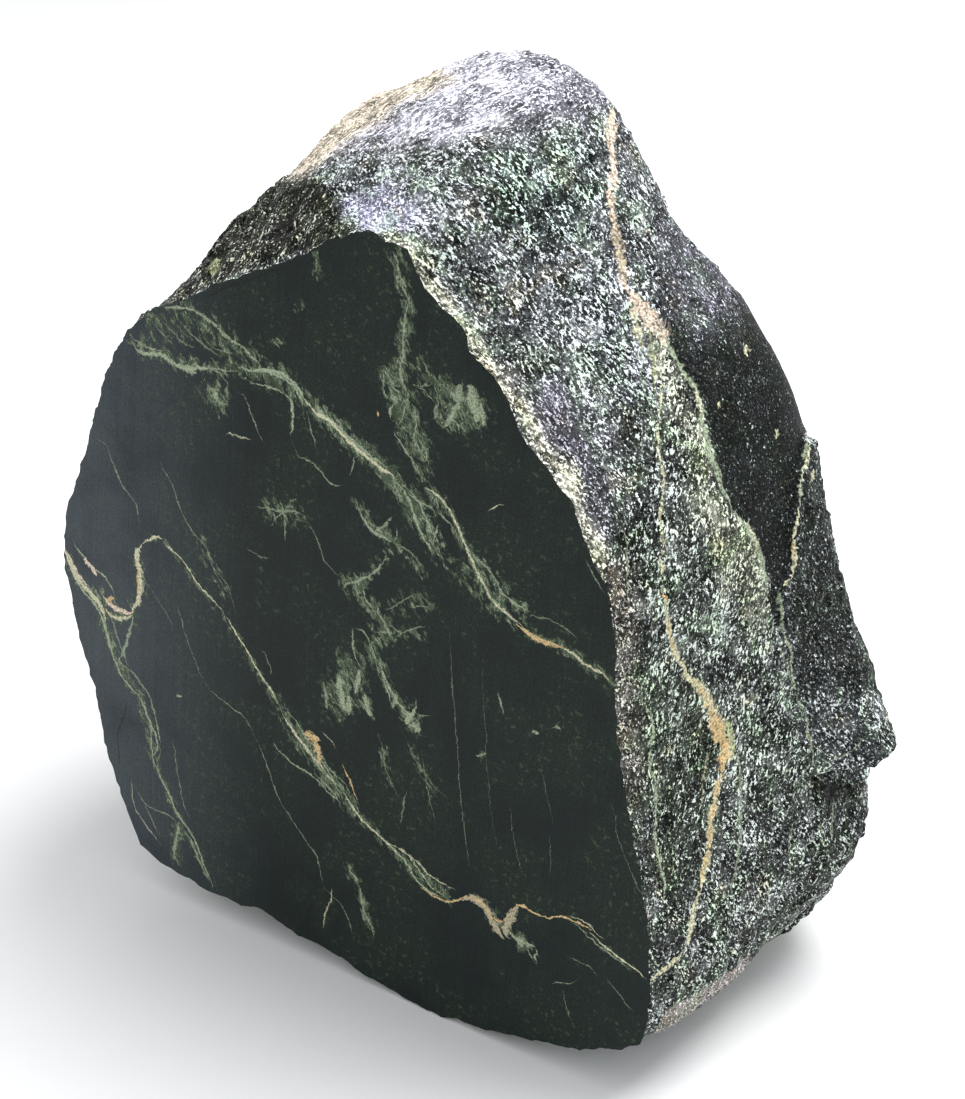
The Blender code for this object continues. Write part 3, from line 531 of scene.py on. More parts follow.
# Regions of the rough skin: name, softness of the border in millimetres, middle of the
# lightness, its swing in powers of e, tint, outline in frame points.
REGIONS = (
    ("low", 12, 0.064, 1.25, (0.96, 1.04, 0.93), ((625, 330), (662, 330), (720, 470), (790, 640),
        (812, 768), (862, 790), (835, 910), (655, 1042), (645, 900), (612, 700), (600, 560), (640, 470))),
    ("foot", 10, 0.045, 1.25, (0.96, 1.03, 0.94), ((645, 830), (720, 800), (800, 800), (860, 800),
        (850, 900), (760, 965), (655, 1045), (640, 960))),
    ("pale zone", 6, 0.15, 1.1, (0.96, 1, 1.02), ((340, 180), (420, 165), (500, 160), (500, 215),
        (420, 235), (380, 235), (345, 215))),
    ("gloom", 6, 0.06, 1.25, (0.9, 1.05, 0.98), ((495, 150), (560, 140), (596, 150), (600, 210), (570, 240),
        (520, 235), (480, 205))),
    ("clear", 6, 0.12, 1.25, (0.96, 1.02, 1.03), ((560, 270), (625, 270), (655, 340), (655, 400),
        (620, 400), (575, 350), (540, 320))),
    ("blank", 6, 0.078, 0.65, (1, 0.97, 1.1), ((505, 385), (560, 380), (600, 430), (606, 480), (600, 540),
        (586, 545), (560, 490), (530, 455))),
    ("lilac", 4, 0.25, 0.7, (0.97, 0.95, 1.16), ((350, 222), (345, 195), (370, 185), (410, 200), (420, 215),
        (405, 238), (372, 232))),
    # Pale cream band along the sawn rim: partly the stone's own cream, partly a painted highlight.
    ("rim", 3, 0.27, 1.1, (1.09, 1.05, 0.8), ((385, 235), (415, 240), (448, 290), (490, 345), (525, 400),
        (570, 470), (596, 530), (616, 590), (600, 590), (570, 510), (540, 460), (505, 398), (478, 372),
        (462, 335), (440, 312), (418, 285), (404, 262))),
    ("strip", 4, 0.13, 1, (1.02, 1.06, 0.82), ((640, 318), (662, 330), (684, 371), (705, 417), (715, 470),
        (732, 507), (750, 531), (765, 580), (775, 620), (752, 640), (735, 600), (712, 560), (690, 500),
        (676, 440), (662, 400), (650, 360))),
    ("olive", 6, 0.034, 1.1, (0.95, 1.07, 0.88), ((632, 640), (684, 665), (700, 690), (714, 730),
        (716, 790), (700, 870), (682, 890), (664, 880), (656, 800), (645, 740), (636, 690))),
    ("brown", 3, 0.068, 0.85, (1.05, 1, 0.87), ((606, 566), (630, 560), (642, 600), (640, 690), (645, 820),
        (622, 830), (612, 700), (606, 640))),
    ("shade", 4, 0.036, 1, (0.98, 1.03, 0.95), ((612, 825), (648, 820), (652, 880), (660, 950), (650, 985),
        (630, 960), (620, 880))),
    ("slab", 1, 0.011, 0.45, (0.95, 1.04, 1), ((664, 212), (668, 215), (672, 230), (662, 260), (660, 300),
        (666, 328), (684, 371), (699, 396), (705, 417), (710, 442), (715, 470), (732, 507), (750, 531),
        (759, 554), (765, 580), (773, 604), (784, 637), (780, 609), (782, 587), (796, 576), (795, 537),
        (798, 507), (802, 474), (808, 437), (806, 415), (790, 360), (760, 300), (720, 250), (690, 225))),
    # Painted reflection: a lighter purple-grey sheen on the upper part of the dark slab.
    ("rise", 7, 0.07, 0.6, (0.99, 0.98, 1.09), ((664, 212), (690, 222), (720, 248), (745, 285), (735, 325),
        (715, 335), (690, 340), (668, 325), (662, 262))),
    ("beyond", 2, 0.022, 0.8, (0.97, 1.04, 0.99), ((784, 637), (780, 609), (782, 587), (796, 576),
        (795, 537), (798, 507), (802, 474), (810, 437), (840, 470), (880, 690), (890, 760), (860, 775),
        (812, 770), (804, 713), (791, 669))),
    ("nose", 4, 0.07, 1.1, (0.96, 1.02, 1), ((800, 700), (885, 690), (900, 770), (812, 772))),
    # Painted shade in the hollow under the nose.
    ("shaded_hollow", 2, 0.025, 0.9, (1, 1, 0.9), ((810, 774), (850, 780), (868, 776), (872, 784), (858, 796),
        (836, 800), (818, 800))),
    ("ledge", 2, 0.017, 1.15, (1.03, 1.04, 0.84), ((140, 320), (190, 297), (246, 273), (284, 260),
        (332, 238), (352, 230), (341, 213), (322, 190), (305, 166), (280, 170), (255, 190), (220, 225),
        (190, 260), (150, 300))),
    ("top", 6, 0.34, 0.74, (0.99, 0.98, 1.1), ((300, 178), (307, 168), (335, 158), (366, 150), (409, 152),
        (440, 150), (453, 144), (480, 134), (500, 128), (530, 124), (560, 120), (585, 112), (606, 102),
        (618, 85), (592, 50), (550, 28), (505, 25), (455, 45), (400, 60), (360, 78), (325, 100),
        (290, 140))),
    # Painted shade: the right end of the top is darker.
    ("shaded_top_end", 9, 0.14, 0.75, (0.98, 0.98, 1.11), ((530, 30), (640, 50), (612, 104), (585, 112), (560, 120),
        (530, 126), (505, 130), (520, 100), (548, 80))),
    ("peach", 4, 0.4, 0.74, (1.14, 1, 0.8), ((296, 182), (326, 160), (352, 138), (380, 120), (412, 102),
        (452, 82), (440, 55), (398, 60), (362, 75), (325, 100), (285, 150))),
    ("rind", 1, 0.2, 0.5, (1.1, 1, 0.93), ((652, 1038), (668, 1012), (690, 996), (712, 982), (727, 972),
        (747, 956), (756, 962), (739, 982), (715, 1002), (690, 1022), (665, 1040), (655, 1048))),
)

# --------------------------------------------------------------- settings


def colour(name, text, value):
    return FloatVectorProperty(
        name=name, description=text, subtype="COLOR", size=3, min=0.0, max=1.0, default=value)


def length(name, text, value):
    return FloatProperty(
        name=name, description=text, subtype="DISTANCE", unit="LENGTH", min=0.0, default=value)


def turn(name, text, value):
    return FloatProperty(name=name, description=text, subtype="ANGLE", unit="ROTATION", default=value)


class JadeShape(bpy.types.PropertyGroup):
    """Sizes of the broken skin."""

    sawn_edge: length("Sawn edge", "Width of the grid in the sawn face", 0.0021)
    near_edge: length("Edge in front", "Longest mesh edge on the veined side", 0.0020)
    far_edge: length("Edge elsewhere", "Longest mesh edge on the other sides", 0.0034)
    smoothing: IntProperty(name="Smoothing", description="Rounds over the solid's facets", min=0, default=7)
    facet_size: length("Facet size", "Width of the broken facets", 0.009)
    facet_height: length("Facet height", "How far the facets stand apart", 0.0010)
    chip_size: length("Chip size", "Width of the small chips", 0.0038)
    chip_height: length("Chip height", "How far the chips stand apart", 0.0006)
    grit_size: length("Grit size", "Width of the grit between the chips", 0.0021)
    grit_height: length("Grit height", "How far the grit stands apart", 0.00018)
    rim_chip: length("Rim chips", "Depth of the chips in the sawn rim", 0.0009)
    rim_nick: length("Rim nicks", "Depth of the nicks in the sawn rim", 0.0005)


class JadeColours(bpy.types.PropertyGroup):
    """Colours of the stone."""

    sawn: colour("Sawn face", "Dark green of the sawn face", (0.007, 0.0125, 0.011))
    # Blue-grey of the painted sheen on the left of the sawn face, a reflection painted into the colour.
    painted_sheen: colour("Sheen", "Blue-grey bloom on the sawn face", (0.052, 0.063, 0.074))
    # Black darkens cracks, and also paints shade: the saw steps, a notch and the line under the nose.
    black: colour("Black", "Darkest jade of the rough sides", (0.007, 0.011, 0.009))
    tan: colour("Tan", "Pale rust", (0.38, 0.34, 0.23))
    green: colour("Green vein", "Softly stained veins", (0.052, 0.076, 0.042))
    sage: colour("Sage vein", "Grey-green veins", (0.300, 0.355, 0.240))
    pale: colour("Pale vein", "Pale green plumes", (0.290, 0.340, 0.225))
    yellow: colour("Yellow vein", "Yellow-green veins", (0.400, 0.430, 0.230))
    cream: colour("Cream vein", "Cream veins", (0.540, 0.525, 0.350))
    peach: colour("Peach vein", "Pink-cream veins", (0.680, 0.550, 0.430))
    orange: colour("Orange vein", "Rusty veins", (0.560, 0.405, 0.205))


class JadeStage(bpy.types.PropertyGroup):
    """Floor, light and camera."""

    floor: colour("Floor", "Pale floor", (0.86, 0.86, 0.86))
    sky: FloatProperty(name="Sky", description="Strength of the light from all round", min=0.0, default=0.9)
    top_light: FloatProperty(
        name="Top light", description="Power of the light overhead", subtype="POWER", unit="POWER",
        min=0.0, default=16.0)
    azimuth: turn("Azimuth", "Where the camera stands", AZIMUTH)
    elevation: turn("Elevation", "How far the camera looks down", ELEVATION)
    distance: length("Distance", "From the camera to the point it looks at", DISTANCE)
    lens: FloatProperty(
        name="Lens", description="Focal length", subtype="DISTANCE_CAMERA", min=1.0, default=LENS)


# ---------------------------------------------------------------- drawing


def sight_line(point):
    """Direction from the eye through a point of the frame."""
    across, down = point
    ray = SIDE_ACROSS * (across - FRAME_WIDTH / 2) + SIDE_UP * (FRAME_HEIGHT / 2 - down)
    return (ray - SIDE_OUT * FOCAL_PIXELS).normalized()


def on_face(point):
    """Millimetres across and up the sawn face, to a tenth, under a frame point."""
    ray = sight_line(point)
    place = EYE + ray * ((SAWN_Y - EYE.y) / ray.y)
    return round(place.x / MM, 1), round(place.z / MM, 1)


SURFACE = BVHTree.FromPolygons(
    [vert.co for vert in SOLID.data.vertices], [tuple(face.vertices) for face in SOLID.data.polygons])


def depth_at(point):
    """How far off the solid is under a frame point, or under the nearest one that meets it."""
    for reach in range(FRAME_HEIGHT):
        for turned in range(RING_POINTS if reach else 1):
            angle = 2.0 * math.pi * turned / RING_POINTS
            beside = (point[0] + reach * math.cos(angle), point[1] + reach * math.sin(angle))
            place = SURFACE.ray_cast(EYE, sight_line(beside))[0]
            if place is not None:
                return (EYE - place).dot(SIDE_OUT)
    raise ValueError("no part of the solid is in the frame")


def on_side(point):
    """Millimetres across and up the rough side, to a tenth, under a frame point."""
    ray = sight_line(point)
    place = EYE - ray * (depth_at(point) / ray.dot(SIDE_OUT))
    return round(place.dot(SIDE_ACROSS) / MM, 1), round(place.dot(SIDE_UP) / MM, 1)


def side_outline(points):
    """An outline on the rough side in whole millimetres."""
    return [[round(value) for value in on_side(point)] for point in points]


# ------------------------------------------------------------------- mesh


def flat_faces(mesh):
    """Faces of the sawn face and of the worn flat underneath."""
    sawn, worn = [], []
    for face in mesh.faces:
        if all(vert.co.y < SAWN_Y + FLAT_GAP for vert in face.verts):
            sawn.append(face)
        elif all(vert.co.z < FLAT_GAP for vert in face.verts):
            worn.append(face)
    return sawn, worn


def merged_solid():
    """The solid's mesh with each flat as one face, the sawn one in its own slot."""
    mesh = bmesh.new()
    mesh.from_mesh(SOLID.data)
    bmesh.ops.remove_doubles(mesh, verts=mesh.verts, dist=1e-6)
    sawn, worn = flat_faces(mesh)
    for face in mesh.faces:
        face.material_index = 0
    for face in sawn:
        face.material_index = SAWN_SLOT
    bmesh.ops.dissolve_faces(mesh, faces=sawn, use_verts=False)
    bmesh.ops.dissolve_faces(mesh, faces=worn, use_verts=False)
    return mesh


def is_sawn(face):
    return face.material_index == SAWN_SLOT


def is_flat(face):
    """Whether a face is in the sawn face or is the worn flat, which alone has many corners."""
    return is_sawn(face) or len(face.verts) > FLAT_CORNERS


def grid_sawn(mesh, size):
    """Cut the sawn face into a grid, so that it can carry the plumes."""
    for axis in (0, 2):
        across = Vector((float(axis == 0), 0.0, float(axis == 2)))
        low, high = (corner[axis] for corner in CAD_BOX)
        for cut in range(1, int((high - low) / size) + 1):
            faces = [face for face in mesh.faces if is_sawn(face)]
            edges = {edge for face in faces for edge in face.edges}
            verts = {vert for edge in edges for vert in edge.verts}
            bmesh.ops.bisect_plane(
                mesh, geom=[*verts, *edges, *faces], dist=0.2 * MM, plane_co=across * (low + cut * size),
                plane_no=across)


def drop_flaps(mesh):
    """Remove faces with the same three corners, which a needle's halved side can leave."""
    by_corners = {}
    for face in mesh.faces:
        by_corners.setdefault(frozenset(face.verts), []).append(face)
    flaps = [face for faces in by_corners.values() if len(faces) > 1 for face in faces]
    bmesh.ops.delete(mesh, geom=flaps, context="FACES")


def refine(mesh, shape):
    """Halve the long edges of the rough skin, round after round."""
    for _ in range(REFINE_ROUNDS):
        mesh.normal_update()
        long_edges = []
        for edge in mesh.edges:
            faces = [face for face in edge.link_faces if not is_flat(face)]
            if not faces:
                continue
            near = any(face.normal.dot(SIDE_OUT) > NEAR_LEAN for face in faces)
            if edge.calc_length() > (shape.near_edge if near else shape.far_edge):
                long_edges.append(edge)
        bmesh.ops.subdivide_edges(mesh, edges=long_edges, cuts=1)
        split = [face for face in mesh.faces if len(face.verts) > 3 and not is_flat(face)]
        bmesh.ops.triangulate(mesh, faces=split, quad_method="BEAUTY", ngon_method="BEAUTY")
        drop_flaps(mesh)


def flat_verts(mesh):
    return {vert for face in mesh.faces if is_flat(face) for vert in face.verts}


def smooth_skin(mesh, rounds):
    """Round over the skin and leave both flats alone."""
    held = flat_verts(mesh)
    free = [vert for vert in mesh.verts if vert not in held]
    for _ in range(rounds):
        bmesh.ops.smooth_vert(
            mesh, verts=free, factor=0.5, use_axis_x=True, use_axis_y=True, use_axis_z=True)


def ramp(value, low, high):
    value = np.clip((value - low) / (high - low), 0.0, 1.0)
    return value * value * (3.0 - 2.0 * value)


def distance_to(points, start, end):
    """Distance of each point from a stretch of line."""
    run = end - start
    along = np.clip(((points - start) @ run) / (run @ run), 0.0, 1.0)
    gap = points - start - along[:, None] * run
    return np.hypot(gap[:, 0], gap[:, 1])


def inside(points, outline):
    """Distance in from an outline, below zero outside it."""
    nearest = np.full(len(points), np.inf)
    crossings = np.zeros(len(points), bool)
    corners = np.array(outline, float)
    for start, end in zip(corners, np.roll(corners, -1, axis=0)):
        nearest = np.minimum(nearest, distance_to(points, start, end))
        passed = (start[1] > points[:, 1]) != (end[1] > points[:, 1])
        with np.errstate(divide="ignore", invalid="ignore"):
            meets = start[0] + (points[:, 1] - start[1]) * (end[0] - start[0]) / (end[1] - start[1])
        crossings ^= passed & (points[:, 0] < meets)
    return np.where(crossings, nearest, -nearest)


def far_side(spots, away):
    """Slow drift of tone, dark break faces and stained break faces, where no region is drawn."""
    drift = np.array([noise.noise_vector(spot / DRIFT_SIZE) for spot in spots])
    cells = []
    for spot in spots:
        bent = spot / BREAK_SIZE + noise.noise_vector(spot / BREAK_BEND_SIZE) * 0.14
        distances, centres = noise.voronoi(bent)
        kind = noise.cell_vector(centres[0] * 5.3)
        cells.append((distances[1] - distances[0], kind.x, kind.y))
    gap, first, second = np.array(cells).T
    inner = ramp(gap, 0.0, 0.12) * away
    dark = inner * (first > DARK_ABOVE)
    stain = inner * (first <= DARK_ABOVE) * (second > STAINED_ABOVE)
    return drift * away[:, None], dark, stain


def skin_fields(places, normals):
    """Tone, tint and grain direction of each point of the rough skin, region by region."""
    across, up, out = [np.array(axis) for axis in (SIDE_ACROSS, SIDE_UP, SIDE_OUT)]
    spots = [Vector(place) for place in places]
    bends = np.array([noise.noise_vector(spot / BEND_SIZE) for spot in spots])
    flat = np.stack((places @ across, places @ up), axis=1) / MM + bends[:, :2] * REGION_WAVER
    facing = ramp(normals @ out + 0.30 * bends[:, 2], -0.35, 0.05)
    drift, dark, stain = far_side(spots, 1.0 - facing)
    fields = {
        "median": math.log(BODY_MEDIAN) + 0.8 * drift[:, 0] - 0.9 * dark + 0.5 * stain,
        "spread": BODY_SPREAD + 0.3 * drift[:, 1] - 0.5 * dark - 0.3 * stain,
        "tint": BODY_TINT + drift[:, 2:] * (0.10, -0.04, -0.10) + stain[:, None] * (0.12, 0.02, -0.14),
        "upright": ramp(drift[:, 1], -0.05, 0.15),
        "raked": np.zeros(len(places)),
        "calm": np.zeros(len(places))}
    for name, soft, middle, swing, tint, points in REGIONS:
        mask = ramp(inside(flat, side_outline(points)), -soft, soft) * facing
        region = {
            "median": math.log(middle), "spread": swing, "tint": tint, "upright": name in UPRIGHT,
            "raked": name in RAKED, "calm": name == CALM}
        for field, value in region.items():
            here = mask[:, None] if field == "tint" else mask
            fields[field] += here * (np.array(value, float) - fields[field])
    return {"facing": facing, **fields}


def facets(place, size):
    """Flat facets, each tilted its own way."""
    _, centres = noise.voronoi(place / size)
    tilt = noise.cell_vector(centres[0] * 7.31) - Vector((0.5, 0.5, 0.5))
    return (place / size - centres[0]).dot(tilt) * 2.0 + (tilt.x + tilt.y) * 0.3


def relief(place, shape):
    """Height of the broken skin at a place."""
    bent = place + noise.noise_vector(place / 0.011) * 0.0016
    height = facets(bent, shape.facet_size) * shape.facet_height
    height += facets(bent, shape.chip_size) * shape.chip_height
    height += noise.fractal(place / shape.grit_size, 0.6, 2.0, 2) * shape.grit_height
    return height


def broken_skin(mesh, shape):
    """Push the skin in and out, fading at both flats, and note the regions on it."""
    mesh.normal_update()
    mesh.verts.ensure_lookup_table()
    held = {vert.index for vert in flat_verts(mesh)}
    places = np.array([vert.co for vert in mesh.verts])
    normals = np.array([vert.normal for vert in mesh.verts])
    fields = skin_fields(places, normals)
    rough = 1.0 - 0.85 * fields.pop("calm")
    rough *= ramp(places[:, 1] - SAWN_Y, 0.0, 0.004) * ramp(places[:, 2], 0.0, 0.003)
    for index, vert in enumerate(mesh.verts):
        if index in held or rough[index] < 0.01:
            continue
        vert.co += vert.normal * (relief(vert.co, shape) * float(rough[index]))
    return fields


def chip_rim(mesh, shape):
    """Nibble the rim of the sawn face, inside its own plane."""
    for vert in {vert for face in mesh.faces if is_sawn(face) for vert in face.verts}:
        chip = noise.noise_vector(vert.co / 0.0045) * shape.rim_chip
        nick = noise.noise_vector(vert.co / 0.0016) * shape.rim_nick
        vert.co += Vector((chip.x + nick.x, 0.0, chip.z + nick.z))


def plume_mask(places):
    """How far each point of the sawn face lies in a plume."""
    flat = places[:, (0, 2)] / MM
    mask = np.zeros(len(places))
    for half_width, strength, *points in FACE_PLUMES:
        corners = np.array([on_face(point) for point in points])
        nearest = np.min([distance_to(flat, *ends) for ends in zip(corners, corners[1:])], axis=0)
        mask = np.maximum(mask, strength * ramp(-nearest, -1.7 * half_width, -0.2 * half_width))
    return np.where(places[:, 1] < SAWN_Y + 0.1 * MM, mask, 0.0)


def boulder_mesh(shape):
    """The solid in its broken skin, with what its materials read stored on its points."""
    noise.seed_set(NOISE_SEED)
    mesh = merged_solid()
    grid_sawn(mesh, shape.sawn_edge)
    refine(mesh, shape)
    smooth_skin(mesh, shape.smoothing)
    mesh.verts.index_update()
    fields = broken_skin(mesh, shape)
    chip_rim(mesh, shape)
    for face in mesh.faces:
        face.smooth = True
    for edge in mesh.edges:
        if sum(map(is_flat, edge.link_faces)) == 1:
            edge.smooth = False
    flats = [face for face in mesh.faces if is_flat(face)]
    bmesh.ops.triangulate(mesh, faces=flats, quad_method="BEAUTY", ngon_method="EAR_CLIP")
    mesh.verts.index_update()
    fields["plume"] = plume_mask(np.array([vert.co for vert in mesh.verts]))
    data = bpy.data.meshes.new(PIECE)
    mesh.to_mesh(data)
    mesh.free()
    for name, values in fields.items():
        kind, slot = ("FLOAT_VECTOR", "vector") if values.ndim > 1 else ("FLOAT", "value")
        data.attributes.new(name, kind, "POINT").data.foreach_set(slot, values.astype(np.float32).ravel())
    return data


# ------------------------------------------------------------- node tools


class Graph:
    """Adds nodes to one node tree."""

    def __init__(self, tree):
        self.tree = tree

    def add(self, kind, feeds=None, **settings):
        node = self.tree.nodes.new(kind)
        for name, value in settings.items():
            setattr(node, name, value)
        for name, value in (feeds or {}).items():
            self.feed(node.inputs[name], value)
        return node

    def feed(self, socket, value):
        if isinstance(value, bpy.types.NodeSocket):
            self.tree.links.new(value, socket)
        elif value is not None:
            socket.default_value = value

    def math(self, operation, first, second=None, third=None):
        return self.add("ShaderNodeMath", {0: first, 1: second, 2: third}, operation=operation).outputs[0]

    def vector(self, operation, first, second=None):
        node = self.add("ShaderNodeVectorMath", {0: first, 1: second}, operation=operation)
        return node.outputs["Value" if operation == "DOT_PRODUCT" else "Vector"]

    def scaled(self, vector, scale):
        return self.add("ShaderNodeVectorMath", {0: vector, "Scale": scale}, operation="SCALE").outputs[0]

    def joined(self, *values):
        return self.add("ShaderNodeCombineXYZ", dict(enumerate(values))).outputs[0]

    def step(self, value, low, high, to_low=0.0, to_high=1.0):
        feeds = {"Value": value, "From Min": low, "From Max": high, "To Min": to_low, "To Max": to_high}
        node = self.add("ShaderNodeMapRange", feeds, interpolation_type="SMOOTHSTEP", clamp=False)
        return node.outputs["Result"]

    def mix(self, amount, first, second):
        """Mix two colours, each a socket or three numbers."""
        node = self.add("ShaderNodeMix", data_type="RGBA")
        self.feed(node.inputs[0], amount)
        for socket, value in ((node.inputs[6], first), (node.inputs[7], second)):
            self.feed(socket, value if isinstance(value, bpy.types.NodeSocket) else (*value, 1.0))
        return node.outputs[2]

    def blend(self, amount, first, second):
        """Mix two values."""
        node = self.add("ShaderNodeMix", {0: amount, 2: first, 3: second}, data_type="FLOAT")
        return node.outputs[0]

    def attribute(self, name, output="Fac"):
        return self.add("ShaderNodeAttribute", attribute_name=name).outputs[output]

    def noise(self, vector, scale, detail=2.0, rough=0.5, output="Fac"):
        feeds = {"Vector": vector, "Scale": scale, "Detail": detail, "Roughness": rough}
        return self.add("ShaderNodeTexNoise", feeds).outputs[output]

    def streaks(self, vector, angle, size, detail, rough):
        """Noise in cells of one size, with their length turned to an angle in the plane of X and Y."""
        feeds = {"Vector": vector, "Rotation": Euler((0.0, 0.0, math.radians(angle))), "Scale": size}
        cells = self.add("ShaderNodeMapping", feeds, vector_type="TEXTURE").outputs[0]
        return self.noise(cells, 1.0, detail, rough)


def new_group(name, inputs, outputs):
    """Empty shader group with float sockets."""
    tree = bpy.data.node_groups.new(name, "ShaderNodeTree")
    for title, default in inputs:
        socket = tree.interface.new_socket(name=title, in_out="INPUT", socket_type="NodeSocketFloat")
        socket.default_value = default
    for title in outputs:
        tree.interface.new_socket(name=title, in_out="OUTPUT", socket_type="NodeSocketFloat")
    graph = Graph(tree)
    return graph, graph.add("NodeGroupInput").outputs, graph.add("NodeGroupOutput").inputs


def track_group():
    """Mask and halo of the veins on one track, from the distance off its line."""
    graph, given, put = new_group(
        "vein_track", (("Off", 0.0), ("Half Width", 1.0), ("Ragged", 0.5), ("Strength", 1.0)),
        ("Mask", "Halo"))
    thick = graph.math("MULTIPLY_ADD", given["Ragged"], 3.0, -0.5)
    width = graph.math("MULTIPLY", given["Half Width"], thick)
    off = graph.math("ABSOLUTE", given["Off"])
    core = graph.math("MULTIPLY_ADD", width, 0.35, -0.03)
    graph.feed(put["Mask"], graph.math("MULTIPLY", graph.step(off, width, core), given["Strength"]))
    wide = graph.math("MULTIPLY", given["Half Width"], 5.0)
    graph.feed(put["Halo"], graph.math("MULTIPLY", graph.step(off, wide, -0.1), given["Strength"]))
    return graph.tree


# ------------------------------------------------------------------ veins


def rises(points, axis):
    """Whether the line keeps going one way along an axis."""
    steps = [after[axis] - before[axis] for before, after in zip(points, points[1:])]
    return all(step > 0.05 for step in steps) or all(step < -0.05 for step in steps)


def spans(points):
    """Width and height of a line."""
    return [max(point[axis] for point in points) - min(point[axis] for point in points) for axis in (0, 1)]


def runs(points):
    """Split a line where it turns back, so that each run keeps going one way along an axis."""
    if len(points) < 3 or rises(points, 0) or rises(points, 1):
        return [points]
    for count in range(len(points) - 1, 1, -1):
        width, height = spans(points[:count])
        if rises(points[:count], 0 if width > height else 1):
            break
    return [points[:count], *runs(points[count - 1:])]


def laid_run(tint, half_width, strength, points):
    """A run as its tint, main axis and (place, off, half width, strength) along that axis."""
    width, height = spans(points)
    main = 0 if rises(points, 0) and (width >= height or not rises(points, 1)) else 1
    points = sorted(points, key=lambda point: point[main])
    start, end = points[0][main], points[-1][main]
    taper = min(TAPER, 0.4 * (end - start))
    line = []
    for index, point in enumerate(points):
        before, after = points[max(index - 1, 0)], points[min(index + 1, len(points) - 1)]
        slope = (after[1 - main] - before[1 - main]) / (after[main] - before[main])
        ends = min(min(point[main] - start, end - point[main]) / taper, 1.0)
        line.append((point[main], point[1 - main], half_width * math.hypot(1.0, slope) * ends, strength))
    return tint, main, line


def laid_patch(tint, centre, wide, tall, lean, strength):
    """An oval patch laid out like a short thick vein."""
    main = 0 if wide > tall else 1
    reach, half = (wide, tall) if main == 0 else (tall, wide)
    slope = math.tan(math.radians(lean)) * (1.0 if main == 0 else -1.0)
    line = []
    for step in (-1.0, -0.93, -0.7, -0.35, 0.0, 0.35, 0.7, 0.93, 1.0):
        place = centre[main] + step * reach
        off = centre[1 - main] + step * reach * slope
        line.append((place, off, half * math.sqrt(1.0 - step * step), strength))
    return tint, main, line


def laid_lines(veins, patches, lay):
    """Every run and patch laid out on the stone."""
    lines = []
    for tint, half_width, strength, *points in veins:
        for run in runs([lay(point) for point in points]):
            lines.append(laid_run(tint, half_width, strength, run))
    for tint, centre, *rest in patches:
        lines.append(laid_patch(tint, lay(centre), *rest))
    return lines


def share_out(lines):
    """Put lines of one tint and one main axis that don't overlap on one track."""
    tracks = []
    for tint, main, line in sorted(lines, key=lambda item: item[2][0][0]):
        for track in tracks:
            if track[:2] == (tint, main) and track[2][-1][0] + TRACK_GAP < line[0][0]:
                track[2].extend(line)
                break
        else:
            tracks.append((tint, main, list(line)))
    return tracks


def fill_curve(curve, places, handle):
    points = curve.points
    points[0].location, points[1].location = places[0], places[-1]
    for place in places[1:-1]:
        points.new(*place)
    for point in points:
        point.handle_type = handle


def track_masks(graph, sheet, track, group, ragged):
    """Place one track's line, width and strength in an RGB Curves node and mask it."""
    _, main, line = track
    start, end = line[0][0], line[-1][0]
    off_low, off_high = min(item[1] for item in line), max(item[1] for item in line) + 0.1
    widest = max(item[2] for item in line)
    scale = 1.0 / (end - start)
    along = graph.math("MULTIPLY_ADD", sheet[main], scale, -start * scale)
    node = graph.add("ShaderNodeRGBCurve", {"Color": along})
    node.mapping.extend = "HORIZONTAL"
    ways = (
        [((at - start) * scale, (off - off_low) / (off_high - off_low)) for at, off, _, _ in line],
        [((at - start) * scale, width / widest) for at, _, width, _ in line],
        [((at - start) * scale, strength) for at, _, _, strength in line])
    for curve, places, handle in zip(node.mapping.curves, ways, ("AUTO_CLAMPED", "VECTOR", "VECTOR")):
        fill_curve(curve, places, handle)
    node.mapping.update()
    read = graph.add("ShaderNodeSeparateColor", {"Color": node.outputs[0]}).outputs
    centre = graph.math("MULTIPLY_ADD", read[0], off_high - off_low, off_low)
    feeds = {
        "Off": graph.math("SUBTRACT", sheet[1 - main], centre),
        "Half Width": graph.math("MULTIPLY", read[1], widest), "Ragged": ragged, "Strength": read[2]}
    return graph.add("ShaderNodeGroup", feeds, node_tree=group).outputs


def sheet_of(graph, place, across, up, waver):
    """Millimetre coordinates on a plane, wavering so that lines look broken, and the bent place."""
    wide = graph.vector("SUBTRACT", graph.noise(place, WIDE_WAVES, 0.0, output="Color"), MIDDLE)
    fine = graph.vector("SUBTRACT", graph.noise(place, FINE_WAVES, 1.0, 0.6, "Color"), MIDDLE)
    bent = graph.vector("ADD", place, graph.scaled(wide, waver * 1.6 * MM))
    moved = graph.vector("ADD", bent, graph.scaled(fine, waver * 1.4 * MM))
    return [graph.vector("DOT_PRODUCT", moved, tuple(axis / MM)) for axis in (across, up)], bent


def all_veins(graph, sheet, group, lines, ragged):
    """Strongest mask of each tint, and one halo round the veins."""
    masks, halo = {}, None
    for track in share_out(lines):
        outputs = track_masks(graph, sheet, track, group, ragged)
        tint, mask = track[0], outputs["Mask"]
        masks[tint] = graph.math("MAXIMUM", masks[tint], mask) if tint in masks else mask
        if tint in HALO_TINTS:
            halo = graph.math("MAXIMUM", halo, outputs["Halo"]) if halo else outputs["Halo"]
    return masks, halo


def paint_veins(graph, base, masks, grain, lively, colours):
    """Lay the veins over a colour, weakest tint first."""
    for tint in PAINT_ORDER:
        if tint in masks:
            worn = graph.math("MINIMUM", graph.math("MULTIPLY", masks[tint], grain), 1.0)
            base = graph.mix(worn, base, graph.scaled(tuple(getattr(colours, tint)), lively))
    return base


# -------------------------------------------------------------- materials


